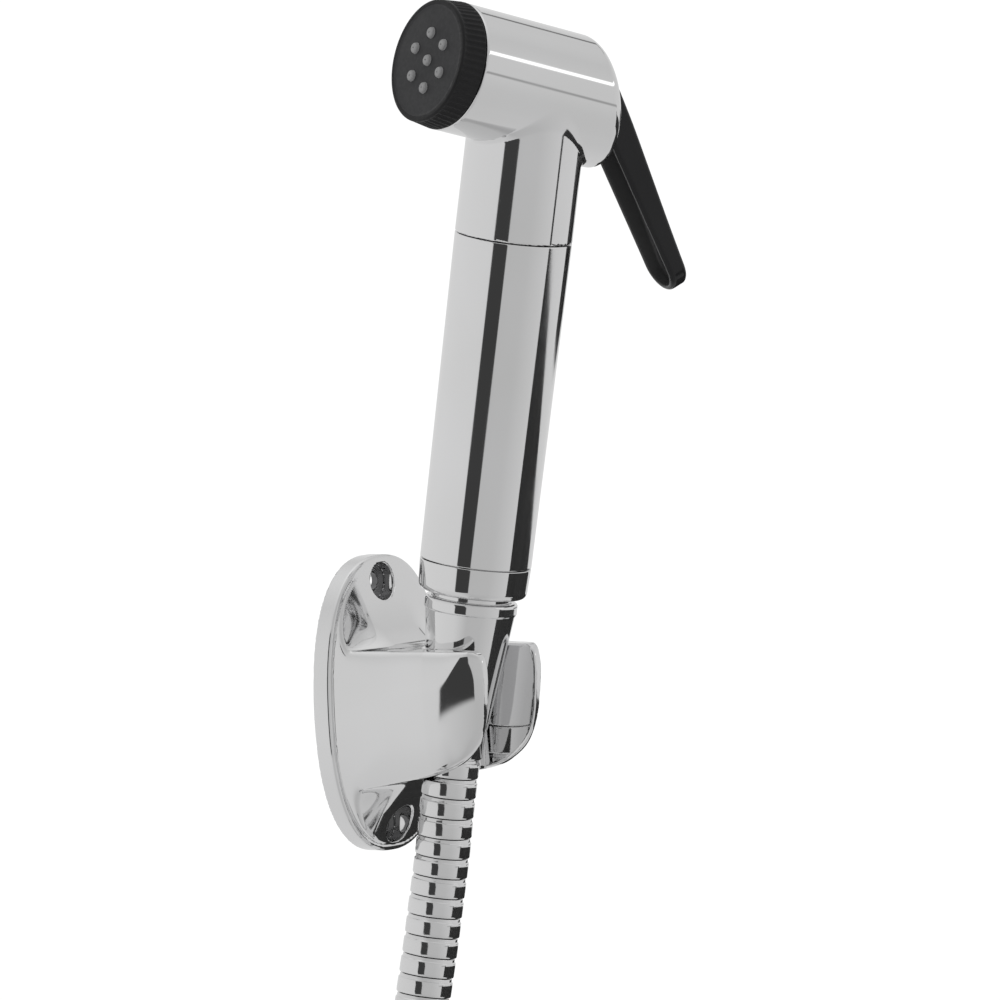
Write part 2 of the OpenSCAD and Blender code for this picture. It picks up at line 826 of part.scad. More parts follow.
land_x = sleeve_x + 0.6;
stem_ring_x = land_x + land_l / 2;
poppet_x = valve_front_x + seal_t + 2 * washer_gap;
stem_wire = 0.7;

module valve_stem() {
    color("gainsboro")
        at_head()
            difference() {
                union() {
                    translate([stem_end_x, 0, 0])
                        sphere(r = stem_r);
                    rod_x(stem_end_x, land_x + 1, stem_r);
                    rod_x(land_x, land_x + land_l, land_r - run_gap);
                    rod_x(land_x + 1, poppet_x + 1, stem_neck_r);
                    rod_x(poppet_x, poppet_x + poppet_t, poppet_r);
                }
                difference() {
                    rod_x(stem_ring_x - 0.8, stem_ring_x + 0.8, land_r + 1);
                    rod_x(stem_ring_x - 2, stem_ring_x + 2, land_r - 2 * stem_wire - 0.05);
                }
            }
}

module stem_oring() {
    color("dimgray")
        at_head()
            ring_x(stem_ring_x, land_r - 0.02 - stem_wire, stem_wire);
}

module valve_washer() {
    color("dimgray")
        at_head()
            difference() {
                rod_x(valve_front_x + washer_gap, poppet_x - washer_gap, poppet_r);
                rod_x(valve_front_x - 1, poppet_x + 1, stem_neck_r + 0.02);
            }
}

// Return spring, one unbroken wire, between the poppet and the flow disc
spring_r = 3.6;
spring_wire = 0.4;
spring_turns = 4;
spring_x0 = poppet_x + poppet_t + spring_wire + 0.15;
spring_x1 = disc_x - spring_wire - 0.15;

module valve_spring() {
    steps = 8 * spring_turns;
    sides = 6;
    rise = (spring_x1 - spring_x0) / steps;
    rings = [for (i = [0:steps]) let (a = 45 * i)
        [for (k = [0:sides - 1]) let (b = 360 * k / sides, r = spring_r + spring_wire * cos(b))
            [spring_x0 + rise * i - spring_wire * sin(b), r * cos(a), r * sin(a)]]];
    last = steps * sides;
    color("lightgray")
        at_head()
            polyhedron(
                points = [for (ring = rings) each ring],
                faces = concat(
                    [for (i = [0:steps - 1]) each band(i * sides, (i + 1) * sides, sides)],
                    [for (k = [1:sides - 2]) [0, k, k + 1]],
                    [for (k = [1:sides - 2]) [last, last + k + 1, last + k]]
                )
            );
}

module flow_disc() {
    color("lightgray")
        at_head()
            difference() {
                rod_x(disc_x, disc_x + disc_t, skirt_r);
                for (i = [0:7])
                    rotate([45 * i, 0, 0])
                        translate([0, 0, 8.6])
                            rod_x(disc_x - 1, disc_x + disc_t + 1, 2);
            }
}

module filter_gauze() {
    color("gray")
        at_head()
            rod_x(disc_x + disc_t, disc_x + disc_t + gauze_t, skirt_r);
}

module cap_gasket() {
    x = disc_x + disc_t + gauze_t;
    color("dimgray")
        at_head()
            difference() {
                rod_x(x, x + gasket_t, skirt_r);
                rod_x(x - 1, x + gasket_t + 1, skirt_bore_r);
            }
}

// Places of the nozzles on the face: the middle one, then the ring
nozzle_places = concat([[0, 0]],
    [for (i = [0:nozzle_count - 1]) let (a = 360 * i / nozzle_count - nozzle_turn)
        nozzle_ring_r * [sin(a), cos(a)]]);

module spray_cap() {
    rear_r = cap_d / 2;
    edge_t = 1;
    flute_depth = 0.35;
    color([0.2, 0.2, 0.2])
        at_head()
            difference() {
                union() {
                    intersection() {
                        rotate([0, 90, 0])
                            rotate_extrude()
                                polygon([
                                    [0, cap_x], [rear_r + 1, cap_x], [rear_r + 1, face_x - 2 * edge_t],
                                    [rear_r - edge_t, face_x], [0, face_x]
                                ]);
                        translate([cap_x - 1, 0, 0])
                            rotate([0, 90, 0])
                                linear_extrude(cap_depth + 2)
                                    polygon([for (i = [0:2 * flute_count - 1])
                                        let (a = 180 * i / flute_count, r = rear_r - (i % 2) * flute_depth)
                                        [r * cos(a), r * sin(a)]]);
                    }
                    rod_x(skirt_x, cap_x + eps, skirt_r);
                }
                rod_x(skirt_x - 1, face_x - face_t, skirt_bore_r);
                for (p = nozzle_places)
                    translate([0, p[0], p[1]])
                        rod_x(face_x - face_t - 1, face_x + 1, nozzle_d / 2 + fit_gap);
            }
}

module nozzle_insert() {
    color("gray")
        at_head()
            difference() {
                union() {
                    rod_x(face_x - face_t - mat_t, face_x - face_t, skirt_bore_r - fit_gap);
                    for (p = nozzle_places)
                        translate([0, p[0], p[1]])
                            rod_x(face_x - face_t - eps, face_x + nozzle_out, nozzle_d / 2);
                }
                for (p = nozzle_places)
                    translate([0, p[0], p[1]])
                        rod_x(face_x - face_t - mat_t - 1, face_x + nozzle_out + 1, 0.5);
            }
}

// ---------- Lever ----------

// Side of the lever in its own X and Z, drawn in by a wall
module lever_side(wall, top_z) {
    top = lever_t_top / 2;
    tip = lever_t_tip / 2;
    polygon([
        [wall - top - lever_offset, top_z],
        [wall - top - lever_offset, lever_low_z],
        [wall - tip - lever_offset, -lever_l],
        [wall > 0 ? lever_t_top : tip - lever_offset, -lever_l],
        [wall > 0 ? lever_t_top : top - lever_offset, lever_low_z],
        [wall > 0 ? lever_t_top : top - lever_offset, top_z]
    ]);
}

// Lever's outline seen from the handle, in Y and Z, drawn in by a wall, as a bar along X
module lever_front(wall, top_z) {
    half = lever_w / 2 - wall;
    translate([-lever_w, 0, 0])
        rotate([90, 0, 90])
            linear_extrude(2 * lever_w) {
                translate([0, lever_w / 2 - lever_l])
                    circle(r = half);
                translate([-half, lever_w / 2 - lever_l])
                    square([2 * half, lever_l - lever_w / 2 + top_z]);
            }
}

module lever() {
    pocket_z = -15;
    color([0.15, 0.15, 0.15])
        at_lever()
            difference() {
                union() {
                    intersection() {
                        rotate([90, 0, 0])
                            linear_extrude(lever_w, center = true)
                                lever_side(0, 0);
                        lever_front(0, 0);
                    }
                    rotate([90, 0, 0])
                        cylinder(h = lever_w, r = lever_head_r, center = true);
                }
                intersection() {
                    rotate([90, 0, 0])
                        linear_extrude(lever_w, center = true)
                            lever_side(lever_wall, pocket_z);
                    lever_front(lever_wall, pocket_z);
                }
                rotate([90, 0, 0])
                    cylinder(h = 2 * lever_w, r = pin_r + run_gap, center = true);
            }
}

module lever_pin() {
    far_l = 12.8;
    near_l = 11.5;
    color("silver")
        at_head()
            translate([-pin_x, -far_l, pin_z])
                rotate([-90, 0, 0])
                    cylinder(h = far_l + near_l, r = pin_r);
}

holder();
hose_ferrule();
hose_run();
hose_coil();
coil_ties();
supply_ferrule();
supply_washer();
supply_nut();
conical_nut();
hose_washer();
inlet_nipple();
end_collar();
handle_tube();
water_tube();
tube_orings();
head_body();
gland_nut();
valve_sleeve();
sleeve_oring();
valve_stem();
stem_oring();
valve_washer();
valve_spring();
flow_disc();
filter_gauze();
cap_gasket();
spray_cap();
nozzle_insert();
lever();
lever_pin();
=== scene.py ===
import json
import math

import bmesh
import bpy
import numpy as np
from mathutils import Matrix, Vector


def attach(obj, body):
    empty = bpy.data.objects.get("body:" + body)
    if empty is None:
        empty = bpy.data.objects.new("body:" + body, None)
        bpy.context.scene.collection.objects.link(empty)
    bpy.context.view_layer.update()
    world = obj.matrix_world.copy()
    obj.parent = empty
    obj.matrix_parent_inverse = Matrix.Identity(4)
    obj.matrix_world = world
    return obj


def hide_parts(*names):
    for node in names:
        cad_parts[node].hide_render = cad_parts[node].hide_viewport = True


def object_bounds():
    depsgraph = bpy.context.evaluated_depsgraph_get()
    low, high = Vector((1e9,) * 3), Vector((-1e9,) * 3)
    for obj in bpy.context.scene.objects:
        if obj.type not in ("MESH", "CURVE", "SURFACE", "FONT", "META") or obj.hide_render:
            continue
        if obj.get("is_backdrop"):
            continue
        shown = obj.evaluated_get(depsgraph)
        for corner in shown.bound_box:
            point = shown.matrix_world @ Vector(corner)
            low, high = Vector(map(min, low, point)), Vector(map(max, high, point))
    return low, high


# Lengths are in millimetres and angles in degrees, and piece() turns the points into the frame's metres
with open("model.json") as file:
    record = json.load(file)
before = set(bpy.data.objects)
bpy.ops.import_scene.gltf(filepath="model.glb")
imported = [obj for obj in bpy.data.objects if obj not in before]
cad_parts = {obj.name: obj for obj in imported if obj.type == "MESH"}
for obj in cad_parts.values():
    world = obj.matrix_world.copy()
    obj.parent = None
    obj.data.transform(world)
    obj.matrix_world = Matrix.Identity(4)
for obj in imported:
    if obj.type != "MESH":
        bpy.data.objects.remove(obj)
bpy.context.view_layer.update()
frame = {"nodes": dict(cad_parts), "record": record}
nodes = frame["nodes"]
scene = bpy.context.scene
MM = 0.001


# ---------------------------------------------------------------- places

def turn(axis, degrees):
    a = math.radians(degrees)
    c, s = math.cos(a), math.sin(a)
    m = np.eye(4)
    i, j = {"x": (1, 2), "y": (2, 0), "z": (0, 1)}[axis]
    m[i, i] = m[j, j] = c
    m[i, j], m[j, i] = -s, s
    return m


def move(x, y, z):
    m = np.eye(4)
    m[:3, 3] = x, y, z
    return m


# Sizes as in part.scad
SEAT_REACH, LEAN_OUT, LEAN_SIDE, HEAD_TURN = 29.4, 9.4, 2.7, 159
FERRULE_L, NUT_L, NUT_RIM_H, COLLAR_H, TUBE_L, NECK_H = 7.8, 34.4, 3.4, 8.2, 86.5, 39.6
SPRAY_RISE, PIN_X, PIN_Z, LEVER_SPLAY = 10.7, 13.4, 8.6, 42.2
SEAM_GAP = 0.25

# Heights up the handset's axis
FERRULE_Z = -13.9
NUT_Z = FERRULE_Z + FERRULE_L
NUT_TOP = NUT_Z + NUT_L
CONE_TOP = NUT_TOP - NUT_RIM_H
COLLAR_Z = NUT_TOP + 1.3
TUBE_Z = COLLAR_Z + COLLAR_H + SEAM_GAP
NECK_Z = TUBE_Z + TUBE_L + SEAM_GAP
HEAD_Z = NECK_Z + NECK_H

# Places of the handset, its head and the lever, each from the one before it
SEAT = move(0, -SEAT_REACH, 0) @ turn("x", LEAN_OUT) @ turn("y", LEAN_SIDE) @ turn("z", HEAD_TURN)
HEAD = SEAT @ move(0, 0, HEAD_Z) @ turn("y", -SPRAY_RISE)
LEVER = HEAD @ move(-PIN_X, 0, PIN_Z) @ turn("y", LEVER_SPLAY)
ALONG_X = turn("y", 90)


# ---------------------------------------------------------------- camera

AZ, EL, ROLL = math.radians(-52), math.radians(4.5), math.radians(2.5)
PHOTO_PX, SCALE = 1000.0, 3.80      # the photograph's width, and its pixels for each millimetre of the object
VIEW_RIGHT, VIEW_UP, DISTANCE, SENSOR = 33.95, 53.16, 9000.0, 36.0
to_camera = np.array([math.sin(AZ) * math.cos(EL), -math.cos(AZ) * math.cos(EL), math.sin(EL)])
side = np.cross([0, 0, 1], to_camera)
side /= np.linalg.norm(side)
rise = np.cross(to_camera, side)
cam_right = math.cos(ROLL) * side - math.sin(ROLL) * rise
cam_up = math.sin(ROLL) * side + math.cos(ROLL) * rise
centre = cam_right * VIEW_RIGHT + cam_up * VIEW_UP
cam_data = bpy.data.cameras.new("camera")
cam_data.sensor_width = SENSOR
cam_data.lens = SENSOR * DISTANCE / (PHOTO_PX / SCALE)
cam_data.clip_end = 20.0
camera = bpy.data.objects.new("camera", cam_data)
scene.collection.objects.link(camera)
view = Matrix.Identity(4)
for row in range(3):
    view[row][0], view[row][1], view[row][2] = cam_right[row], cam_up[row], to_camera[row]
    view[row][3] = (centre + to_camera * DISTANCE)[row] * MM
camera.matrix_world = view
scene.camera = camera


# ---------------------------------------------------------------- mesh tools

wears = {}                          # the material slot of each piece, by its name


def piece(name, points, faces, body, slot, at=None, normals=None, sharp=None, swaps=()):
    """Object from points in millimetres, riding on its body."""
    pts = np.asarray(points, float)
    if at is not None:
        pts = pts @ at[:3, :3].T + at[:3, 3]
    mesh = bpy.data.meshes.new(name)
    mesh.from_pydata((pts * MM).tolist(), [], [list(map(int, f)) for f in faces])
    mesh.validate()
    mesh.update()
    mesh.polygons.foreach_set("use_smooth", [True] * len(mesh.polygons))
    if sharp is not None:
        mesh.set_sharp_from_angle(angle=math.radians(sharp))
    if normals is not None:
        nrm = np.asarray(normals, float)
        if at is not None:
            nrm = nrm @ at[:3, :3].T
        mesh.normals_split_custom_set_from_vertices(nrm.tolist())
    o = bpy.data.objects.new(name, mesh)
    scene.collection.objects.link(o)
    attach(o, body)
    wears[name] = slot
    if swaps:
        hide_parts(*swaps)
    return o


def ring_faces(rings, across, base=0, closed=True):
    """Quads between rings of points; where closed, the last ring joins the first."""
    out = []
    for i in range(rings if closed else rings - 1):
        here, there = base + i * across, base + (i + 1) % rings * across
        for k in range(across):
            m = (k + 1) % across
            out.append((here + k, here + m, there + m, there + k))
    return out


def rounded(points, closed=True, steps=6):
    """Outline through points (x, y, radius), each corner rounded by its radius."""
    out = []
    n = len(points)
    for i, (x, y, r) in enumerate(points):
        p = np.array([x, y], float)
        if r <= 0 or (not closed and i in (0, n - 1)):
            out.append(p)
            continue
        a = np.array(points[i - 1][:2], float) - p
        b = np.array(points[(i + 1) % n][:2], float) - p
        la, lb = np.linalg.norm(a), np.linalg.norm(b)
        a, b = a / la, b / lb
        half = math.acos(max(-1, min(1, float(a @ b)))) / 2
        cut = min(r / math.tan(half), la * 0.49, lb * 0.49)
        rr = cut * math.tan(half)
        mid = (a + b) / np.linalg.norm(a + b) * rr / math.sin(half) + p
        v0, v1 = p + a * cut - mid, p + b * cut - mid
        ang = math.acos(max(-1, min(1, float(v0 @ v1) / (rr * rr))))
        for k in range(steps + 1):
            t = k / steps
            v = (math.sin((1 - t) * ang) * v0 + math.sin(t * ang) * v1) / math.sin(ang)
            out.append(mid + v)
    return np.array(out)


def straightened(outline, keep=0.2):
    """Outline with a point close to each end of a long side, so that its shading stays straight."""
    out = []
    for a, b in zip(outline, np.roll(outline, -1, axis=0)):
        out.append(a)
        length = np.linalg.norm(b - a)
        if length > 8 * keep:
            out += [a + (b - a) * keep / length, b - (b - a) * keep / length]
    return np.array(out)


def spline(guides, steps=8):
    """Smooth curve through all guides but the first and last, up to its last point."""
    out = []
    for p0, p1, p2, p3 in zip(guides, guides[1:], guides[2:], guides[3:]):
        for k in range(steps):
            t = k / steps
            out.append(0.5 * (2 * p1 + (p2 - p0) * t + (2 * p0 - 5 * p1 + 4 * p2 - p3) * t * t
                              + (3 * p1 - p0 - 3 * p2 + p3) * t ** 3))
    return out


def smooth_path(points, steps=8):
    """Smooth curve through all points, both ends included."""
    p = [np.array(q, float) for q in points]
    p = [2 * p[0] - p[1]] + p + [2 * p[-1] - p[-2]]
    return [tuple(q) for q in spline(p, steps) + [p[-2]]]


def arc(x, y, r, a0, a1, n):
    a = np.radians(np.linspace(a0, a1, n + 1))
    return [(x + r * math.cos(t), y + r * math.sin(t)) for t in a]


def lathe(name, outline, at, body, slot, swaps=(), sides=144, sharp=40, shape=None):
    """Closed outline of (radius, height) turned about Z, its points moved by shape(angle, radius, height)."""
    outline = straightened(np.asarray(outline, float))
    n = len(outline)
    a = 2 * math.pi * np.arange(sides) / sides
    r = np.broadcast_to(outline[None, :, 0], (sides, n)).copy()
    z = np.broadcast_to(outline[None, :, 1], (sides, n)).copy()
    if shape is not None:
        r, z = shape(a[:, None], r, z)
    pts = np.stack([r * np.cos(a)[:, None], r * np.sin(a)[:, None], z], -1).reshape(-1, 3)
    after = np.roll(outline, -1, axis=0)
    off_axis = np.maximum(outline[:, 0], after[:, 0]) >= 1e-6
    faces = [(q0, q3, q2, q1) for q0, q1, q2, q3 in ring_faces(sides, n) if off_axis[q0 % n]]
    area = 0.5 * np.sum(outline[:, 0] * after[:, 1] - after[:, 0] * outline[:, 1])
    if area < 0:
        faces = [f[::-1] for f in faces]
    o = piece(name, pts, faces, body, slot, at=at, swaps=swaps)
    bm = bmesh.new()
    bm.from_mesh(o.data)
    bmesh.ops.remove_doubles(bm, verts=bm.verts, dist=1e-7)
    bm.to_mesh(o.data)
    bm.free()
    o.data.polygons.foreach_set("use_smooth", [True] * len(o.data.polygons))
    o.data.set_sharp_from_angle(angle=math.radians(sharp))
    return o


# ---------------------------------------------------------------- meshes of distance fields

BLOCK = 4                                   # lattice steps along the blocks that are looked at first
BLOCK_FAR = 1.25                            # in block widths: farther off, a block keeps only its sign
POINT_STEP, NORMAL_STEP = 0.04, 0.16        # to each side of a point, for its move and for its normal
MOVE_MOST, AWAY_MOST = 0.6, 0.8             # in lattice steps: how far a point moves in one go, and in all
UNIT = np.eye(3, dtype=int)


def indices(counts):
    """All index triples of a grid, in order."""
    return np.stack(np.meshgrid(*[np.arange(c) for c in counts], indexing="ij"), -1).reshape(-1, 3)


def sampled(field, low, blocks, h):
    """The field on a lattice: its values near the surface, elsewhere its sign times h."""
    full = np.ones(blocks * BLOCK + 1)
    block = indices(blocks)
    corner = indices([BLOCK + 1] * 3)
    far = np.abs(field(low + (block + 0.5) * BLOCK * h)) > BLOCK * h * BLOCK_FAR

    def parts(chosen, most):
        for part in np.array_split(chosen, len(chosen) // most + 1):
            yield part, (part[:, None, :] * BLOCK + corner[None]).reshape(-1, 3)

    for part, g in parts(block[far], 40000):
        sign = np.sign(field(low + (part + 0.5) * BLOCK * h))
        full[tuple(g.T)] = np.repeat(sign, len(corner)) * h
    for part, g in parts(block[~far], 3000):
        full[tuple(g.T)] = field(low + g * h)
    return full


def edge_means(full, cells):
    """For each cell the mean of the points where its edges cross the surface, in lattice steps."""
    total = np.zeros((len(cells), 3))
    count = np.zeros(len(cells))
    for axis in range(3):
        step = UNIT[axis]
        for u, v in ((0, 0), (0, 1), (1, 0), (1, 1)):
            a = cells + u * UNIT[(axis + 1) % 3] + v * UNIT[(axis + 2) % 3]
            fa, fb = full[tuple(a.T)], full[tuple((a + step).T)]
            hit = (fa < 0) != (fb < 0)
            t = np.where(hit, fa / np.where(hit, fa - fb, 1), 0)
            total += hit[:, None] * (a + t[:, None] * step)
            count += hit
    return total / count[:, None]


def net_quads(inside, number):
    """One quad for each lattice edge that crosses the surface, between the points of its four cells."""
    quads = []
    for axis in range(3):
        e1, e2 = (axis + 1) % 3, (axis + 2) % 3
        tail, head = [slice(1, -1)] * 3, [slice(1, -1)] * 3
        tail[axis], head[axis] = slice(0, -1), slice(1, None)
        start = np.argwhere(inside[tuple(tail)] != inside[tuple(head)])
        start[:, [e1, e2]] += 1
        ring = [number[tuple((start - u * UNIT[e1] - v * UNIT[e2]).T)]
                for u, v in ((1, 1), (0, 1), (0, 0), (1, 0))]
        q = np.stack(ring, -1)
        flip = ~inside[tuple(start.T)]
        q[flip] = q[flip][:, ::-1]
        quads.append(q)
    quads = np.concatenate(quads)
    return quads[(quads >= 0).all(1)]


def slope(field, p, step):
    g = np.empty_like(p)
    for i in range(3):
        d = np.zeros(3)
        d[i] = step
        g[:, i] = (field(p + d) - field(p - d)) / (2 * step)
    return g


def lattice_mesh(field, low, high, h):
    """Points, quads and normals of field = 0: surface nets, then each point moved onto the surface."""
    low, high = np.array(low, float), np.array(high, float)
    full = sampled(field, low, np.ceil((high - low) / (h * BLOCK)).astype(int), h)
    inside = full < 0
    nx, ny, nz = np.array(full.shape) - 1
    corners_in = np.zeros((nx, ny, nz), int)
    for dx, dy, dz in indices((2, 2, 2)):
        corners_in += inside[dx:nx + dx, dy:ny + dy, dz:nz + dz]
    cells = np.argwhere((corners_in > 0) & (corners_in < 8))
    number = -np.ones((nx, ny, nz), int)
    number[tuple(cells.T)] = np.arange(len(cells))
    pts = low + edge_means(full, cells) * h
    quads = net_quads(inside, number)

    first = pts.copy()
    for _ in range(3):
        g = slope(field, pts, POINT_STEP)
        f = field(pts)
        go = np.clip(f / np.maximum((g * g).sum(1), 0.3), -MOVE_MOST * h, MOVE_MOST * h)
        pts = pts - go[:, None] * g
        away = pts - first
        far_off = np.linalg.norm(away, axis=1)
        pts = first + away * np.minimum(1, AWAY_MOST * h / np.maximum(far_off, 1e-9))[:, None]
    g = slope(field, pts, NORMAL_STEP)
    g /= np.maximum(np.linalg.norm(g, axis=1), 1e-9)[:, None]
    return pts, quads, g


def both(a, b, r=0.0):
    """Inside a and b, the edge between them rounded by r, one value or one for each point."""
    if np.ndim(r) == 0 and r <= 0:
        return np.maximum(a, b)
    return np.minimum(np.maximum(a, b), -r) + np.hypot(np.maximum(a + r, 0), np.maximum(b + r, 0))


def either(a, b, r=0.0):
    """Inside a or b, the corner between them filled by r, one value or one for each point."""
    if np.ndim(r) == 0 and r <= 0:
        return np.minimum(a, b)
    return np.maximum(np.minimum(a, b), r) - np.hypot(np.maximum(r - a, 0), np.maximum(r - b, 0))


def flat_distance(u, v, outline):
    """Signed distance from points (u, v) to a closed outline, negative inside."""
    best = np.full(u.shape, 1e18)
    inside = np.zeros(u.shape, bool)
    prev = outline[-1]
    for cur in outline:
        ex, ey = cur[0] - prev[0], cur[1] - prev[1]
        wx, wy = u - prev[0], v - prev[1]
        t = np.clip((wx * ex + wy * ey) / (ex * ex + ey * ey), 0, 1)
        dx, dy = wx - ex * t, wy - ey * t
        best = np.minimum(best, dx * dx + dy * dy)
        low, high = (prev, cur) if prev[1] < cur[1] else (cur, prev)
        span = (v >= low[1]) & (v < high[1])
        if ey != 0:
            inside ^= span & (u < prev[0] + (v - prev[1]) * ex / ey)
        prev = cur
    d = np.sqrt(best)
    return np.where(inside, -d, d)


def table_of(outline, margin=6.0, step=0.25):
    """The same distance, read from a fine table: quick, and smooth between its points."""
    o = np.array(outline, float)
    low, high = o.min(0) - margin, o.max(0) + margin
    nu, nv = (np.ceil((high - low) / step).astype(int) + 1)
    u, v = np.meshgrid(low[0] + step * np.arange(nu), low[1] + step * np.arange(nv), indexing="ij")
    grid = flat_distance(u, v, o)

    def weights(q):
        return ((-q + 2 * q * q - q ** 3) / 2, (2 - 5 * q * q + 3 * q ** 3) / 2,
                (q + 4 * q * q - 3 * q ** 3) / 2, (q ** 3 - q * q) / 2)

    def read(a, b):
        x = np.clip((a - low[0]) / step, 1, nu - 2.001)
        y = np.clip((b - low[1]) / step, 1, nv - 2.001)
        i, j = x.astype(int), y.astype(int)
        i, j = np.minimum(i, nu - 3), np.minimum(j, nv - 3)
        ws, wt = weights(x - i), weights(y - j)
        out = 0
        for m in range(4):
            row = 0
            for k in range(4):
                row = row + wt[k] * grid[i + m - 1, j + k - 1]
            out = out + ws[m] * row
        return out
    return read


def smooth_share(v, low, high):
    """0 below low, 1 above high, smooth between."""
    t = np.clip((v - low) / (high - low), 0, 1)
    return t * t * (3 - 2 * t)


# ---------------------------------------------------------------- hose

HOSE_D, HOSE_BORE_R, HOSE_L, HOSE_SIDES = 14.5, 4.5, 1000.0, 40
COIL_R, COIL_PITCH, COIL_START = 80.0, 15.5, 40.0
COIL_LEAD, COIL_TAIL, END_SHIFT, END_TURN = 15.0, 30.0, 9.0, 50.0
COIL_STEPS, BORE_STEPS = 200, 120


def heading(a):
    """Direction in which the coil runs at angle a, counted from its top."""
    return np.array([math.cos(math.radians(a)), 0, -math.sin(math.radians(a))])


axis_up = SEAT[:3, 2]
hose_start = np.array([0, -SEAT_REACH, 0]) + FERRULE_Z * axis_up
route = [
    (-1.5, -23.4, -36.5), (-1.9, -21.9, -45.3), (-2.5, -20.4, -54.2), (-3.2, -19, -63.1),
    (-4, -17.5, -71.9), (-4.8, -16.3, -79.8), (-5.3, -15.4, -88.5), (-5, -14.9, -97.5),
    (-3.4, -14.6, -106.8), (-0.5, -14.6, -116), (3.3, -14.6, -124.6), (8, -14.6, -132.6),
    (13.6, -14.6, -140), (19.8, -14.6, -146.5), (26.5, -14.6, -152.2), (34.4, -14.6, -158.9)]
lead = heading(COIL_START)
run_end = np.array(route[-1], float)
guides = [hose_start + HOSE_D * axis_up, hose_start, hose_start - HOSE_D * axis_up]
guides += [np.array(p, float) for p in route] + [run_end + 10 * lead]
line = spline(guides) + [run_end]
run_l = float(np.linalg.norm(np.diff(np.array(line), axis=0), axis=1).sum())
entry = run_end + COIL_LEAD * lead
s0 = math.radians(COIL_START)
coil_x, coil_z = entry[0] - COIL_R * math.sin(s0), entry[2] - COIL_R * math.cos(s0)
turn_l = math.hypot(2 * math.pi * COIL_R, COIL_PITCH)
coil_turn = (HOSE_L - run_l - COIL_LEAD - COIL_TAIL) / turn_l * 360
coil_end = COIL_START + coil_turn


def coil_y(a):
    """The coil steps aside by its pitch each turn, and by END_SHIFT more over its last END_TURN."""
    t = max(0.0, 1 - (coil_end - a) / END_TURN)
    return entry[1] - COIL_PITCH * (a - COIL_START) / 360 - END_SHIFT * t * t * (3 - 2 * t)


def coil_point(a):
    s = math.radians(a)
    return np.array([coil_x + COIL_R * math.sin(s), coil_y(a), coil_z + COIL_R * math.cos(s)])


line += [coil_point(COIL_START + coil_turn * i / COIL_STEPS) for i in range(COIL_STEPS + 1)]
supply_point = line[-1] + COIL_TAIL * heading(coil_end)
line.append(supply_point)
line = np.array(line)
dist = np.concatenate([[0], np.cumsum(np.linalg.norm(np.diff(line, axis=0), axis=1))])
hose_len = float(dist[-1])
SUPPLY = move(*supply_point) @ turn("y", 90 + coil_end)


def on_line(s):
    return np.stack([np.interp(s, dist, line[:, k]) for k in range(3)], -1)


def hose_rings(s, r):
    """Points of the rings at distances s along the hose, with radii r."""
    tangent = on_line(np.minimum(s + 1.0, hose_len)) - on_line(np.maximum(s - 1.0, 0))
    tangent /= np.linalg.norm(tangent, axis=1)[:, None]
    n1 = np.array([0, 1.0, 0]) - tangent[:, 1:2] * tangent
    n1 /= np.linalg.norm(n1, axis=1)[:, None]
    n2 = np.cross(tangent, n1)
    ang = 2 * math.pi * np.arange(HOSE_SIDES) / HOSE_SIDES
    out = np.cos(ang)[None, :, None] * n1[:, None] + np.sin(ang)[None, :, None] * n2[:, None]
    return (on_line(s)[:, None] + r[:, None, None] * out).reshape(-1, 3)


# One rib, as share of the pitch and radius: a narrow sunk band, a wide flat band, a thin groove
RIB_PITCH, GROOVE_R = 5.3, 6.3
RIB = [(0.00, GROOVE_R), (0.015, 6.80), (0.04, 6.90), (0.16, 6.92), (0.185, 7.00), (0.205, 7.16),
       (0.25, 7.24), (0.42, 7.25), (0.60, 7.25), (0.78, 7.25), (0.90, 7.24), (0.945, 7.16), (0.97, 6.90)]
ribs = int(hose_len // RIB_PITCH)
pitch = hose_len / ribs
stations = np.array([(i + at) * pitch for i in range(ribs) for at, r in RIB] + [hose_len])
radii = np.array([r for at, r in RIB] * ribs + [GROOVE_R])
skin = hose_rings(stations, radii)
bore = hose_rings(np.linspace(0, hose_len, BORE_STEPS), np.full(BORE_STEPS, HOSE_BORE_R))
base = len(skin)
faces = ring_faces(len(stations), HOSE_SIDES, closed=False)
faces += [(q0, q3, q2, q1) for q0, q1, q2, q3 in ring_faces(BORE_STEPS, HOSE_SIDES, base, closed=False)]
last, last_bore = base - HOSE_SIDES, base + len(bore) - HOSE_SIDES
for k in range(HOSE_SIDES):
    m = (k + 1) % HOSE_SIDES
    faces.append((k, base + k, base + m, m))
    faces.append((last + k, last + m, last_bore + m, last_bore + k))
hose = piece("hose", np.concatenate([skin, bore]), faces, "hose", "chrome_hose", sharp=38,
             swaps=("hose_run", "hose_coil"))


# ---------------------------------------------------------------- hose fittings

FERRULE_R, FERRULE_BORE_R, STEM_R, FLANGE_R = HOSE_D / 2 + 0.5, 4.8, 6.4, 8.8
STEM_HOLE_R, THREAD_R = 6.46, 10.55         # round the stem, and the bore for the G 1/2 thread
HEX_Z, HEX_L, HEX_AF = 8.05, 17.0, 24.0
CORNER_DROP, CORNER_W = 0.25, 0.9           # how far and from where the hexagon's corners are taken off
TIE_ANGLES, TIE_W, TIE_T, TIE_PLAY = (105, 205), 8, 1.4, 0.3
ROUND_STEPS = 96


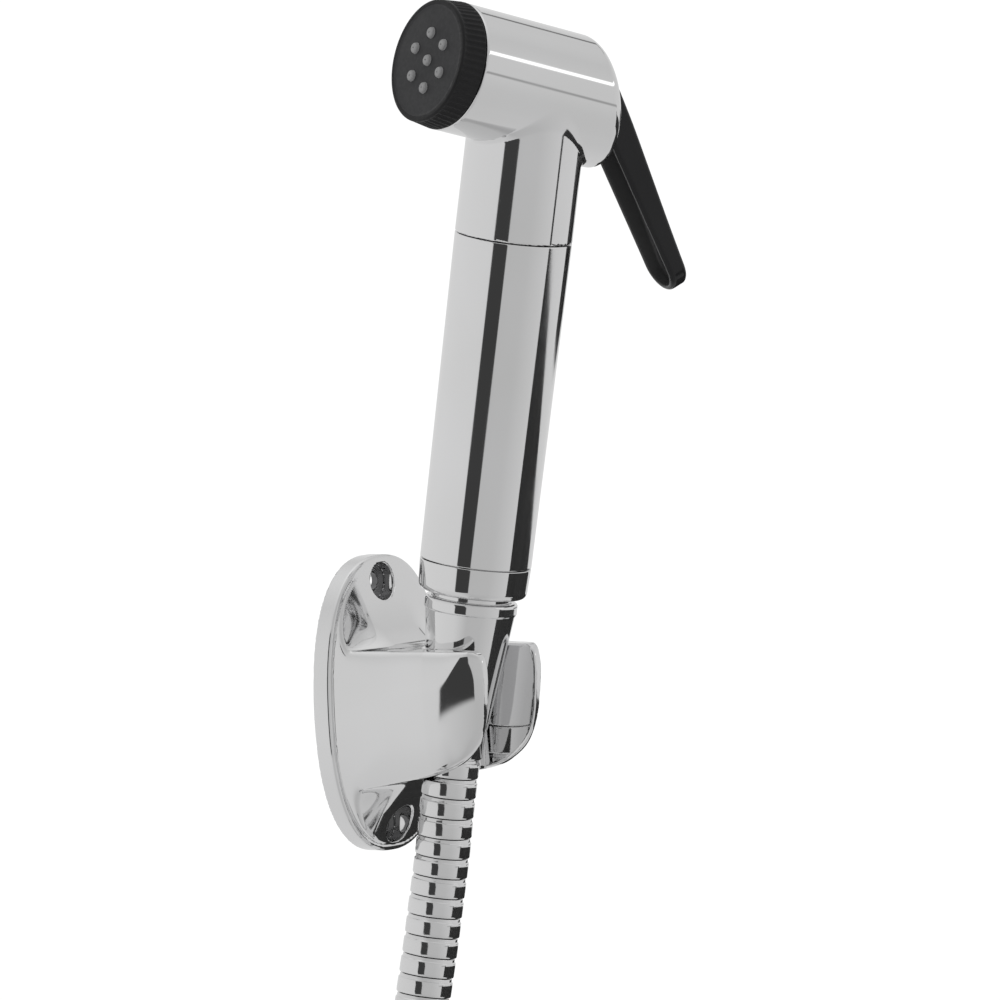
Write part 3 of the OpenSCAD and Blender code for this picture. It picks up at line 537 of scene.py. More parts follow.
def tie_pieces():
    """Two flat straps, each round both turns of the coil that lie side by side."""
    section = rounded([(-TIE_W / 2, 0, 0.45), (TIE_W / 2, 0, 0.45), (TIE_W / 2, TIE_T, 0.45),
                       (-TIE_W / 2, TIE_T, 0.45)], steps=4)
    inner_r = HOSE_D / 2 + TIE_PLAY
    pts = []
    for k in range(ROUND_STEPS):
        a = 2 * math.pi * k / ROUND_STEPS
        c, s = math.cos(a), math.sin(a)
        shift = math.copysign(COIL_PITCH / 2, c) if abs(c) > 1e-9 else 0
        pts += [(w, shift + (inner_r + t) * c, (inner_r + t) * s) for w, t in section]
    out = []
    for number, a in enumerate(TIE_ANGLES):
        place = move(coil_x, (coil_y(a) + coil_y(a + 360)) / 2, coil_z) @ turn("y", a) @ move(0, 0, COIL_R)
        out.append(piece("coil_tie_%d" % (number + 1), pts, ring_faces(ROUND_STEPS, len(section)), "hose",
                         "black_plastic", at=place, sharp=50, swaps=("coil_ties",) if number == 0 else ()))
    return out


def ferrule(foot, shoulder, corner, flange, top):
    """Outline of a ferrule over the hose's end, with its hollow stem and flange."""
    return rounded([(FERRULE_BORE_R, foot, 0.2), (FERRULE_R, foot, 0.6), (FERRULE_R, shoulder, corner),
                    (STEM_R, shoulder, 0), (STEM_R, flange, 0), (FLANGE_R, flange, 0.2), (FLANGE_R, top, 0.2),
                    (FERRULE_BORE_R, top, 0.2)])


def hex_nut():
    a = 2 * math.pi * np.arange(ROUND_STEPS) / ROUND_STEPS
    fold = (a + math.pi / 6) % (math.pi / 3) - math.pi / 6
    flat_r = HEX_AF / 2
    corner_r = HEX_AF / math.cos(math.radians(30)) / 2
    hexr = flat_r / np.cos(fold)
    hexr = hexr - CORNER_DROP * np.maximum(0, (hexr - corner_r + CORNER_W) / CORNER_W) ** 2
    chamfer = [(flat_r - 0.3 + k * 0.5, k * 0.28) for k in range(5)]
    mouth_z = HEX_Z + HEX_L
    rings = [(np.minimum(hexr, limit), HEX_Z + z) for limit, z in chamfer]
    rings += [(np.minimum(hexr, limit), mouth_z - z) for limit, z in chamfer[::-1]]
    # Down the bore: mouth, thread, groove above the washer, floor, hole for the ferrule
    floor_z, groove_z, groove_r = HEX_Z + 2.6, 17.7, 10.9
    rings += [(np.full(ROUND_STEPS, r), z) for r, z in (
        (11.05, mouth_z), (THREAD_R, mouth_z - 0.6), (THREAD_R, groove_z), (groove_r, groove_z - 0.3),
        (groove_r, floor_z), (STEM_HOLE_R, floor_z), (STEM_HOLE_R, HEX_Z))]
    pts = [(r[i] * math.cos(a[i]), r[i] * math.sin(a[i]), z) for r, z in rings for i in range(ROUND_STEPS)]
    return piece("supply_hex_nut", pts, ring_faces(len(rings), ROUND_STEPS), "supply_nut", "chrome_fitting",
                 at=SUPPLY, sharp=28, swaps=("supply_nut",))


ties = tie_pieces()
hose_ferrule = lathe("hose_end_ferrule", ferrule(FERRULE_Z, NUT_Z - SEAM_GAP, 0.4, 14.95, 17.45), SEAT,
                     "hose", "chrome_fitting", swaps=("hose_ferrule",))
supply_end = lathe("supply_end_ferrule", ferrule(0, FERRULE_L, 0.6, 10.7, 13.3), SUPPLY,
                   "hose", "chrome_fitting", swaps=("supply_ferrule",))
supply_nut = hex_nut()


# ---------------------------------------------------------------- handle

NUT_LOW_D, NUT_TOP_D, NUT_RIM_R, NUT_BORE_L = 16.4, 23.8, 12.3, 9.8
WASHER_SPACE_R, SHOULDER_Z = 9.1, 14.85
GRIP_LOW_R, GRIP_TOP_R, GRIP_BORE_R = 14.7, 15.5, 12.5
COLLAR_LOW_R, COLLAR_BORE_R, COLLAR_LIP = 14.3, 13.1, 1.3

lathe("conical_nut_shell", rounded(
    [(STEM_HOLE_R, NUT_Z, 0), (NUT_LOW_D / 2, NUT_Z, 0.5), (NUT_TOP_D / 2, CONE_TOP, 0.25),
     (NUT_RIM_R, CONE_TOP + 0.3, 0.8), (NUT_RIM_R, NUT_TOP, 1.4), (THREAD_R, NUT_TOP, 0.3),
     (THREAD_R, NUT_TOP - NUT_BORE_L, 0), (WASHER_SPACE_R, NUT_TOP - NUT_BORE_L, 0),
     (WASHER_SPACE_R, SHOULDER_Z, 0), (STEM_HOLE_R, SHOULDER_Z, 0)]),
    SEAT, "handset", "chrome_fitting", swaps=("conical_nut",), sides=192)
lathe("end_collar_shell", rounded(
    [(THREAD_R, COLLAR_Z, 0.3), (COLLAR_LOW_R, COLLAR_Z, 2.6), (GRIP_LOW_R, COLLAR_Z + COLLAR_H, 0.22),
     (COLLAR_BORE_R, COLLAR_Z + COLLAR_H, 0), (COLLAR_BORE_R, COLLAR_Z + COLLAR_LIP, 0),
     (THREAD_R, COLLAR_Z + COLLAR_LIP, 0)], steps=12),
    SEAT, "handset", "chrome_handle", swaps=("end_collar",), sides=192)
lathe("handle_grip", rounded(
    [(GRIP_BORE_R, TUBE_Z, 0), (GRIP_LOW_R, TUBE_Z, 0.22), (GRIP_TOP_R, TUBE_Z + TUBE_L, 0.22),
     (GRIP_BORE_R, TUBE_Z + TUBE_L, 0)]),
    SEAT, "handset", "chrome_handle", swaps=("handle_tube",), sides=192)


# ---------------------------------------------------------------- head

BARREL_R, BARREL_TAPER, BARREL_L, MOUTH_X, BACK_X, BACK_SLANT = 17.1, 0.3, 45.9, 26.2, 19.7, 17
SPIGOT_R, SPIGOT_Z = 12.4, -45.6
MOUTH_BORE_R, MOUTH_FLOOR_X, VALVE_BORE_R, VALVE_BACK_X = 14.0, 10.0, 8.1, -10.0
SLOT_HALF_W, SLOT_LOW_Z, SLOT_HIGH_Z, SLOT_X = 7.1, -13.6, 13.2, -8.6
SOCKET_R, SOCKET_TOP_Z, PASSAGE_R, PASSAGE_Z = 7.4, -17.5, 4.4, -20
PIN_HOLE_R, PIN_LOW_Y, PIN_HIGH_Y = 1.52, -13.0, 11.7


def head_field(p):
    x, y, z = p[:, 0], p[:, 1], p[:, 2]
    c, s = math.cos(math.radians(SPRAY_RISE)), math.sin(math.radians(SPRAY_RISE))
    xs, zs = x * c - z * s, x * s + z * c           # across and along the handle's axis
    across = np.hypot(y, z)
    barrel = across - (BARREL_R - BARREL_TAPER * (MOUTH_X - x) / BARREL_L)
    barrel = both(barrel, x - MOUTH_X, 0.5)
    slant = math.radians(BACK_SLANT)
    back = -math.cos(slant) * (x + BACK_X) + math.sin(slant) * z
    barrel = both(barrel, back, 3.0)
    round_neck = np.hypot(xs, y)
    neck = both(both(round_neck - GRIP_TOP_R, -NECK_H - zs, 0.25), zs)
    body = either(barrel, neck, 1.2)
    spigot = both(both(round_neck - SPIGOT_R, SPIGOT_Z - zs, 0.3), zs + 30)
    body = either(body, spigot)
    body = both(body, -both(across - MOUTH_BORE_R, MOUTH_FLOOR_X - x), 0.3)
    body = both(body, -both(across - VALVE_BORE_R, VALVE_BACK_X - x))
    slot = np.maximum(np.maximum(np.abs(y) - SLOT_HALF_W, np.maximum(SLOT_LOW_Z - z, z - SLOT_HIGH_Z)),
                      x - SLOT_X)
    body = both(body, -slot, 0.5)
    body = both(body, -np.maximum(round_neck - SOCKET_R, zs - SOCKET_TOP_Z))
    body = both(body, -np.maximum(round_neck - PASSAGE_R, np.maximum(zs, PASSAGE_Z - zs)))
    hole = np.maximum(np.hypot(x + PIN_X, z - PIN_Z) - PIN_HOLE_R, np.maximum(PIN_LOW_Y - y, y - PIN_HIGH_Y))
    return np.maximum(body, -hole)


pts, quads, nrm = lattice_mesh(head_field, (-27, -18.5, -48), (28, 18.5, 19), 0.5)
piece("head_casting", pts, quads, "handset", "chrome_head", at=HEAD, normals=nrm, swaps=("head_body",))


# ---------------------------------------------------------------- spray cap

CAP_X, FACE_X, FACE_T = 26.45, 33.45, 2.4       # along the barrel's axis
CAP_R, CAP_DRAFT, CAP_ROUND = 17.15, 0.72, 0.45
RIM_R, RIM_ROUND = 15.85, 0.6
SKIRT_R, SKIRT_BORE_R, SKIRT_X = 13.9, 11.8, 21.85
FLUTES, FLUTE_DEPTH, FLUTES_FROM_R = 60, 0.32, 15.5
NOZZLE_RING_R, NOZZLE_COUNT, NOZZLE_TURN, NOZZLE_SIDES = 7.4, 6, 14, 40


def cap_shape(a, r, z):
    """Flutes in the cap's side, running out towards both of its ends."""
    wave = 0.5 + 0.5 * np.cos(FLUTES * a)
    depth = np.clip((z - CAP_X - 0.3) / 0.6, 0, 1) * np.clip((FACE_X - 0.7 - z) / 0.7, 0, 1)
    depth = depth * (r > FLUTES_FROM_R)
    return r - FLUTE_DEPTH * (1 - wave ** 1.6) * depth, z


cap_outline = [(0.0, FACE_X - FACE_T), (SKIRT_BORE_R, FACE_X - FACE_T), (SKIRT_BORE_R, SKIRT_X),
               (SKIRT_R, SKIRT_X), (SKIRT_R, CAP_X - 0.05), (14.4, CAP_X)]
cap_outline += [(CAP_R - CAP_ROUND * (1 - math.sin(t)), CAP_X + CAP_ROUND * (1 - math.cos(t)))
                for t in np.linspace(0.1, math.pi / 2, 5)]
cap_outline += [(CAP_R - CAP_DRAFT * t, CAP_X + 0.5 + (FACE_X - CAP_X - 1.1) * t)
                for t in np.linspace(0.05, 1, 14)]
cap_outline += [(RIM_R + RIM_ROUND * math.cos(t), FACE_X - RIM_ROUND + RIM_ROUND * math.sin(t))
                for t in np.linspace(0.1, math.pi / 2, 8)]
cap_outline += [(15.0, FACE_X - 0.02), (14.6, FACE_X - 0.22), (14.2, FACE_X - 0.24), (0.0, FACE_X - 0.24)]
lathe("spray_cap_shell", cap_outline, HEAD @ ALONG_X, "handset", "dark_plastic", swaps=("spray_cap",),
      sides=720, sharp=35, shape=cap_shape)

spots = [(0.0, 0.0)]
for i in range(NOZZLE_COUNT):
    t = math.radians(360 / NOZZLE_COUNT * i - NOZZLE_TURN)
    spots.append((NOZZLE_RING_R * math.sin(t), NOZZLE_RING_R * math.cos(t)))
nub = rounded([(0.2, FACE_X - 0.6, 0), (1.65, FACE_X - 0.6, 0), (1.55, FACE_X - 0.2, 0.2),
               (1.3, FACE_X + 0.66, 0.7), (0.2, FACE_X + 0.7, 0.05)])
nub_pts, nub_faces = [], []
for y, z in spots:
    nub_faces += ring_faces(NOZZLE_SIDES, len(nub), len(nub_pts))
    for i in range(NOZZLE_SIDES):
        t = 2 * math.pi * i / NOZZLE_SIDES
        nub_pts += [(x, y + r * math.cos(t), z + r * math.sin(t)) for r, x in nub]
piece("nozzle_nubs", nub_pts, nub_faces, "handset", "grey_rubber", at=HEAD, sharp=45,
      swaps=("nozzle_insert",))


# ---------------------------------------------------------------- lever

# X and Z, the lever hanging down from its pin: the side away from the handle, and the side towards it
OUTER_EDGE = [(-5.1, 3.5), (-5.1, -6), (-5.1, -14), (-5.0, -21), (-4.5, -34), (-3.95, -48), (-3.6, -60),
              (-3.5, -68)]
INNER_EDGE = [(1.65, -68), (1.75, -60), (2.15, -48), (2.65, -34), (3.05, -22), (3.1, -14), (3.1, -6),
              (3.1, 3.5)]
LEVER_HALF_W, TIP_Z, DRUM_R, LEVER_HOLE_R = 6.7, -61.3, 4.15, 1.55
POCKET_HALF_W, POCKET_TOP_Z, POCKET_X, FLOOR_X, FLOOR_SLOPE = 5.05, -16.5, -3.3, -3.25, 0.021
lever_edge = table_of(smooth_path(OUTER_EDGE) + smooth_path(INNER_EDGE))


def lever_front(y, z, half):
    """Outline seen from the front, with the tip's half circle."""
    return np.hypot(y, np.minimum(z - TIP_Z, 0)) - half


def lever_field(p):
    x, y, z = p[:, 0], p[:, 1], p[:, 2]
    shell = both(both(lever_edge(x, z), lever_front(y, z, LEVER_HALF_W), 1.3), z, 0.2)
    drum = both(np.hypot(x, z) - DRUM_R, np.abs(y) - LEVER_HALF_W, 0.4)
    body = either(shell, drum, 0.8)
    pocket = np.maximum(lever_front(y, z, POCKET_HALF_W), np.maximum(z - POCKET_TOP_Z, POCKET_X - x))
    pocket = both(pocket, -(x - FLOOR_X - FLOOR_SLOPE * (-z - 20)), 0.8)
    body = both(body, -pocket, 0.45)
    return np.maximum(body, LEVER_HOLE_R - np.hypot(x, z))


pts, quads, nrm = lattice_mesh(lever_field, (-6.5, -8, -69.5), (6, 8, 5.5), 0.36)
piece("lever_shell", pts, quads, "lever", "black_lever", at=LEVER, normals=nrm, swaps=("lever",))


# ---------------------------------------------------------------- holder

PLATE_W, PLATE_H, PLATE_T, EDGE_INSET, OVAL_N = 49.0, 78.0, 5.4, 1.6, 2.35
CUP_TOP, CUP_DEPTH, CUP_WALL, CUP_TAPER = 15.3, 32.0, 8.3, 5.0
FRONT_Y, JAW_REACH, JAW_TURN, JAW_FALL, JAW_POWER = -48.2, 18.8, 3.4, 3.4, 2.3
CREASE_STEP, SWEEP_POWER, NOSE_R = 2.6, 1.8, 0.9
SEAT_GAP, SLOT_HALF = 0.35, 10.0
SCREW_Z, SCREW_HEAD_R, SCREW_HOLE_R, SCREW_FLOOR = 32, 4.8, 2.3, 2.4
WALL_Y = 1.0                        # the outlines run on behind the wall, where the field is cut flat
LOW_ROOT_Z = -23.2                  # where the cup's underside ends at the plate
# The hollow between plate and arm: its reach along the plate, and along the arm on top, under it and beside it
UP_REACH, MID_REACH, LOW_REACH, SIDE_REACH = 20.0, 13.0, 18.0, 5.0

nut_slope = (NUT_TOP_D - NUT_LOW_D) / 2 / (CONE_TOP - NUT_Z)
seat_low_r = NUT_LOW_D / 2 + SEAT_GAP
seat_inv = np.linalg.inv(SEAT)
cup_half = seat_low_r + (CUP_TOP - NUT_Z) * nut_slope + CUP_WALL
front_half = cup_half - JAW_TURN - JAW_FALL

# Side outline in Y and Z: the nose of a jaw is a smooth curve, its points behind the front and down the cup
nose_shape = [(7, 0), (4, 0), (2, 0.03), (0.9, 0.09), (0.25, 0.165), (0, 0.25), (0.2, 0.4), (0.9, 0.57),
              (3.2, 0.74), (7.2, 0.88), (12.7, 0.98), (19.2, 1.04), (26.2, 1.08), (33, 1.12)]
nose = [(FRONT_Y + back, CUP_TOP - down * CUP_DEPTH) for back, down in nose_shape]
side_line = [(WALL_Y, CUP_TOP)] + smooth_path(nose, 10)[10:-10] + [(WALL_Y, LOW_ROOT_Z)]
side_dist = table_of(side_line, margin=27.0)

# Outline from above: a hollow side from the plate's edge to a crease, then the jaw, then its nose
plate_half = PLATE_W / 2 - EDGE_INSET
crease_y = -SEAT_REACH - CREASE_STEP
side_l = -crease_y - PLATE_T
jaw_l = JAW_REACH - CREASE_STEP
turn_end = math.atan((JAW_TURN + JAW_POWER * JAW_FALL) / jaw_l)
half_line = [(plate_half, WALL_Y)]
for t in np.linspace(0, 1, 40):
    half_line.append((cup_half + (plate_half - cup_half) * (1 - t) ** SWEEP_POWER, -PLATE_T - side_l * t))
for t in np.linspace(0.02, 0.97, 40):
    half_line.append((cup_half - JAW_TURN * t - JAW_FALL * t ** JAW_POWER, crease_y - jaw_l * t))
half_line += arc(front_half - NOSE_R / math.tan(math.pi / 4 + turn_end / 2), FRONT_Y + NOSE_R, NOSE_R,
                 -math.degrees(turn_end), -90, 10)
plan_line = half_line + [(-x, y) for x, y in half_line[::-1]]
plan_dist = table_of(plan_line)


def oval_dist(x, z, w, h, n=OVAL_N):
    """About the distance to an oval of power n, w wide and h high."""
    a, b = w / 2, h / 2
    u, v = np.abs(x) / a + 1e-9, np.abs(z) / b + 1e-9
    f = (u ** n + v ** n) ** (1 / n)
    gx = f ** (1 - n) * u ** (n - 1) / a
    gz = f ** (1 - n) * v ** (n - 1) / b
    return (f - 1) / np.maximum(np.hypot(gx, gz), 1e-6)


def arm_side(x, y, z):
    """Outline from above, swept out to the plate's oval at every height and drawn in towards the cup's foot."""
    down = np.clip((CUP_TOP - z) / CUP_DEPTH, 0, 1.2)
    draw = CUP_TAPER * down ** 2 * np.clip((-y - PLATE_T) / (-FRONT_Y - PLATE_T), 0, 1.1)
    share_up = np.clip(np.abs(z) / (PLATE_H / 2 - EDGE_INSET), 1e-6, 0.99)
    rest = 1 - share_up ** OVAL_N
    half = plate_half * rest ** (1 / OVAL_N)
    half_slope = plate_half * rest ** (1 / OVAL_N - 1) * share_up ** (OVAL_N - 1) / (PLATE_H / 2 - EDGE_INSET)
    sweep = (1 - np.clip((-y - PLATE_T) / side_l, 0, 1)) ** SWEEP_POWER
    beside = (plan_dist(np.abs(x) + (plate_half - half) * sweep, y) + draw) / np.hypot(1, half_slope * sweep)
    return np.maximum(beside, oval_dist(x, z, PLATE_W - 2 * EDGE_INSET, PLATE_H - 2 * EDGE_INSET))


def holder_field(p):
    x, y, z = p[:, 0], p[:, 1], p[:, 2]
    plate = both(oval_dist(x, z, PLATE_W, PLATE_H), -PLATE_T - y, 1.0)
    middle = np.where(z > 0, MID_REACH, LOW_REACH)
    reach = middle + (SIDE_REACH - middle) * smooth_share(np.abs(x), 7, 20)
    cove = either((-PLATE_T - y) / reach, side_dist(y, z) / UP_REACH, 1.0) * reach
    # The arm's edge is rounded most along its middle, and least at the nose
    edge = 1.0 + 1.8 * smooth_share(-y, 8, 22) - 1.6 * smooth_share(-y, 37, 44)
    raised = both(cove, arm_side(x, y, z), edge)
    body = both(np.minimum(plate, raised), y, 0.3)
    for screw_z in (-SCREW_Z, SCREW_Z):
        r = np.hypot(x, z - screw_z)
        body = both(body, -np.maximum(r - SCREW_HEAD_R, y + SCREW_FLOOR), 0.45)
        body = np.maximum(body, -(r - SCREW_HOLE_R))
    q = p @ seat_inv[:3, :3].T + seat_inv[:3, 3]
    cone = np.hypot(q[:, 0], q[:, 1]) - (seat_low_r + np.maximum(q[:, 2] - NUT_Z, 0) * nut_slope)
    body = both(body, -cone, 0.6)
    slot = np.maximum(np.abs(x) - SLOT_HALF, y + SEAT_REACH)
    return both(body, -slot, 0.7)


pts, quads, nrm = lattice_mesh(holder_field, (-25.5, -49.5, -40), (25.5, 1, 40), 0.5)
piece("holder_shell", pts, quads, "holder", "chrome_bracket", normals=nrm, swaps=("holder",))


# ---------------------------------------------------------------- materials

def new_material(name, colour, metallic, rough, **more):
    m = bpy.data.materials.new(name)
    m.use_nodes = True
    b = m.node_tree.nodes["Principled BSDF"]
    b.inputs["Base Color"].default_value = (*colour, 1)
    b.inputs["Metallic"].default_value = metallic
    b.inputs["Roughness"].default_value = rough
    for key, value in more.items():
        b.inputs[key.replace("_", " ")].default_value = value
    return m, b


def link(m, a, out, b, into):
    m.node_tree.links.new(a.outputs[out], b.inputs[into])


def noise(m, scale, detail, rough=0.55, stretch=None):
    t = m.node_tree.nodes.new("ShaderNodeTexCoord")
    n = m.node_tree.nodes.new("ShaderNodeTexNoise")
    n.inputs["Scale"].default_value = scale
    n.inputs["Detail"].default_value = detail
    n.inputs["Roughness"].default_value = rough
    if stretch:
        g = m.node_tree.nodes.new("ShaderNodeMapping")
        g.inputs["Scale"].default_value = stretch
        link(m, t, "Object", g, "Vector")
        link(m, g, "Vector", n, "Vector")
    else:
        link(m, t, "Object", n, "Vector")
    return n


def spread(m, source, low, high):
    r = m.node_tree.nodes.new("ShaderNodeMapRange")
    r.inputs["From Min"].default_value = 0.35
    r.inputs["From Max"].default_value = 0.65
    r.inputs["To Min"].default_value = low
    r.inputs["To Max"].default_value = high
    link(m, source, "Fac", r, "Value")
    return r


def tint(m, b, source, dark, light):
    r = m.node_tree.nodes.new("ShaderNodeValToRGB")
    r.color_ramp.elements[0].position = 0.3
    r.color_ramp.elements[0].color = (*dark, 1)
    r.color_ramp.elements[1].position = 0.7
    r.color_ramp.elements[1].color = (*light, 1)
    link(m, source, "Fac", r, "Fac")
    link(m, r, "Color", b, "Base Color")


def bump(m, b, source, strength, height):
    n = m.node_tree.nodes.new("ShaderNodeBump")
    n.inputs["Strength"].default_value = strength
    n.inputs["Distance"].default_value = height
    link(m, source, "Fac", n, "Height")
    link(m, n, "Normal", b, "Normal")


surfaces = {}                       # materials by name


def surface(name, colour, rough, shades, cloud, smear=None, span=None, ripple=None, relief=None, stretch=None,
            metallic=0.0, **more):
    """Material with its colour between two shades by the noise cloud, its roughness within span by the noise
    smear, or else cloud, and a bump of (strength, height) by the noise ripple, or else smear."""
    m, b = new_material(name, colour, metallic, rough, **more)
    made = {}

    def source(key):
        if key not in made:
            made[key] = noise(m, *key, stretch=stretch)
        return made[key]

    tint(m, b, source(cloud), *shades)
    if span:
        link(m, spread(m, source(smear or cloud), *span), "Result", b, "Roughness")
    if relief:
        bump(m, b, source(ripple or smear or cloud), *relief)
    surfaces[name] = m
    return m


def chrome(name, tone=0.80, span=(0.035, 0.075), wave=None):
    shades = ((tone - 0.02,) * 3, (tone + 0.01, tone + 0.01, tone + 0.016))
    return surface(name, (tone, tone, tone * 1.008), 0.4, shades, cloud=(30, 2), smear=(55, 3), span=span,
                   ripple=(90, 2, 0.4) if wave else None, relief=(wave, 0.0002) if wave else None,
                   metallic=1.0)


chrome("chrome_handle")
chrome("chrome_head", wave=0.012)
chrome("chrome_bracket", span=(0.04, 0.09), wave=0.03)
chrome("chrome_fitting", span=(0.04, 0.08))
chrome("chrome_hose", tone=0.78, span=(0.06, 0.12), wave=0.02)
surface("black_lever", (0.018, 0.018, 0.019), 0.2, ((0.015, 0.015, 0.016), (0.021, 0.021, 0.022)),
        cloud=(40, 2), smear=(80, 3), span=(0.15, 0.26), ripple=(120, 2, 0.4), relief=(0.015, 0.0002),
        Specular_IOR_Level=0.22)
surface("dark_plastic", (0.038, 0.038, 0.04), 0.5, ((0.034, 0.034, 0.036), (0.042, 0.042, 0.044)),
        cloud=(60, 2), smear=(900, 4), span=(0.44, 0.58), relief=(0.12, 0.00008), Specular_IOR_Level=0.25)
surface("grey_rubber", (0.36, 0.36, 0.363), 0.6, ((0.335, 0.335, 0.338), (0.385, 0.385, 0.388)),
        cloud=(700, 3), span=(0.5, 0.68))
surface("black_plastic", (0.02, 0.02, 0.02), 0.5, ((0.016, 0.016, 0.016), (0.028, 0.028, 0.028)),
        cloud=(500, 4), span=(0.42, 0.6), relief=(0.2, 0.0001))
surface("black_rubber", (0.02, 0.02, 0.02), 0.7, ((0.014, 0.014, 0.014), (0.026, 0.026, 0.026)),
        cloud=(800, 4), relief=(0.25, 0.0001))
surface("white_plastic", (0.75, 0.75, 0.73), 0.45, ((0.70, 0.70, 0.68), (0.78, 0.78, 0.76)),
        cloud=(300, 3), relief=(0.1, 0.00008))
surface("brass", (0.66, 0.50, 0.24), 0.25, ((0.60, 0.45, 0.20), (0.70, 0.54, 0.27)),
        cloud=(200, 3), span=(0.18, 0.34), stretch=(1, 1, 14), metallic=1.0)
surface("steel", (0.62, 0.62, 0.63), 0.25, ((0.56, 0.56, 0.57), (0.66, 0.66, 0.67)),
        cloud=(260, 3), span=(0.18, 0.36), stretch=(1, 1, 18), metallic=1.0)
node_slot = {s["node"]: s["material_slot"] for s in frame["record"]["subparts"]}
for name, o in nodes.items():
    o.data.materials.clear()
    o.data.materials.append(surfaces[node_slot[name]])
for name, slot in wears.items():
    bpy.data.objects[name].data.materials.append(surfaces[slot])


# ---------------------------------------------------------------- second materials on some faces: painted shade and painted light

def more_material(name, m, chosen):
    """One more material, on the faces whose centres, in millimetres, are chosen."""
    mesh = bpy.data.objects[name].data
    at = np.empty(len(mesh.polygons) * 3)
    index = np.empty(len(mesh.polygons), np.int32)
    mesh.polygons.foreach_get("center", at)
    mesh.polygons.foreach_get("material_index", index)
    mesh.materials.append(m)
    index[chosen(at.reshape(-1, 3) / MM)] = len(mesh.materials) - 1
    mesh.polygons.foreach_set("material_index", index)


def seen_from(place, p):
    """X, Y and Z of points in the coordinates of a place."""
    return ((p - place[:3, 3]) @ place[:3, :3]).T


# Painted shade: the faces inside the screw recesses, which get a much darker chrome
def in_recess_painted_shade(p):
    deep = p[:, 1] > -PLATE_T + 0.4
    return deep & (np.hypot(p[:, 0], np.abs(p[:, 2]) - SCREW_Z) < SCREW_HEAD_R - 0.05)


# Painted shade: the cap's fluted side and rim, which get a darker copy of its plastic
def on_rim_painted_shade(p):
    x, y, z = seen_from(HEAD, p)
    return np.hypot(y, z) > 15.3


# Painted light: the lever's pocket, which gets a lighter copy of its black plastic
def in_hollow_painted_light(p):
    x, y, z = seen_from(LEVER, p)
    return (lever_front(y, z, POCKET_HALF_W + 0.25) < 0) & (x > -3.5) & (z < POCKET_TOP_Z + 0.5)


def on_edge_painted_highlight(p):
    """The lever's edge round its pocket, where a lighter band is painted as a highlight."""
    x, y, z = seen_from(LEVER, p)
    back = np.interp(z, [edge_z for edge_x, edge_z in INNER_EDGE], [edge_x for edge_x, edge_z in INNER_EDGE])
    band = (lever_front(y, z, 4.8) > 0) & (lever_front(y, z, 5.8) < 0)
    return band & (x > back - 0.4) & (z < POCKET_TOP_Z + 0.5)


# Painted shade: the bracket's chrome made dark (tone 0.17) inside the screw recesses
more_material("holder_shell", chrome("chrome_recess_painted_shade", tone=0.17, span=(0.12, 0.2)), in_recess_painted_shade)
# Painted shade: the cap's side and rim darker than its face, with less specular
more_material("spray_cap_shell", surface(
    "dark_plastic_rim_painted_shade", (0.016, 0.016, 0.017), 0.45, ((0.014, 0.014, 0.015), (0.019, 0.019, 0.02)),
    cloud=(60, 2), smear=(900, 4), span=(0.4, 0.54), Specular_IOR_Level=0.2), on_rim_painted_shade)
# Painted light: the lever's pocket lighter than the rest of the black plastic
more_material("lever_shell", surface(
    "black_lever_hollow_painted_light", (0.085, 0.085, 0.086), 0.35, ((0.08, 0.08, 0.081), (0.09, 0.09, 0.091)),
    cloud=(40, 2), smear=(80, 3), span=(0.3, 0.4), Specular_IOR_Level=0.3), in_hollow_painted_light)
# Painted highlight: a lighter band of the black plastic along the edge round the pocket
more_material("lever_shell", surface(
    "black_lever_edge_painted_highlight", (0.06, 0.06, 0.061), 0.3, ((0.055, 0.055, 0.056), (0.066, 0.066, 0.067)),
    cloud=(40, 2), smear=(80, 3), span=(0.24, 0.36)), on_edge_painted_highlight)


# ---------------------------------------------------------------- studio

world = bpy.data.worlds.new("studio")
world.use_nodes = True
scene.world = world
nt = world.node_tree
nt.nodes.clear()


def math_node(op, a, b=None):
    n = nt.nodes.new("ShaderNodeMath")
    n.operation = op
    for k, v in enumerate((a, b)):
        if v is None:
            continue
        if isinstance(v, (int, float)):
            n.inputs[k].default_value = v
        else:
            nt.links.new(v, n.inputs[k])
    return n.outputs[0]


def along(source, direction):
    n = nt.nodes.new("ShaderNodeVectorMath")
    n.operation = "DOT_PRODUCT"
    nt.links.new(source, n.inputs[0])
    n.inputs[1].default_value = [float(v) for v in direction]
    return n.outputs["Value"]


def fade(source, low, high):
    """0 below low, 1 above high, smooth between."""
    n = nt.nodes.new("ShaderNodeMapRange")
    n.interpolation_type = "SMOOTHSTEP"
    nt.links.new(source, n.inputs["Value"])
    n.inputs["From Min"].default_value = low
    n.inputs["From Max"].default_value = high
    return n.outputs["Result"]


def within(source, low, high, soft):
    return math_node("SUBTRACT", fade(source, low - soft, low + soft), fade(source, high - soft, high + soft))


def ramp(source, low, high, stops):
    """Grey levels by an angle that runs from low to high."""
    r = nt.nodes.new("ShaderNodeValToRGB")
    e = r.color_ramp.elements
    while len(e) < len(stops):
        e.new(0.5)
    for el, (angle, v) in zip(e, stops):
        el.position = (angle - low) / (high - low)
        el.color = (v, v, v, 1)
    nt.links.new(math_node("DIVIDE", math_node("SUBTRACT", source, low), high - low), r.inputs["Fac"])
    return r.outputs["Color"]


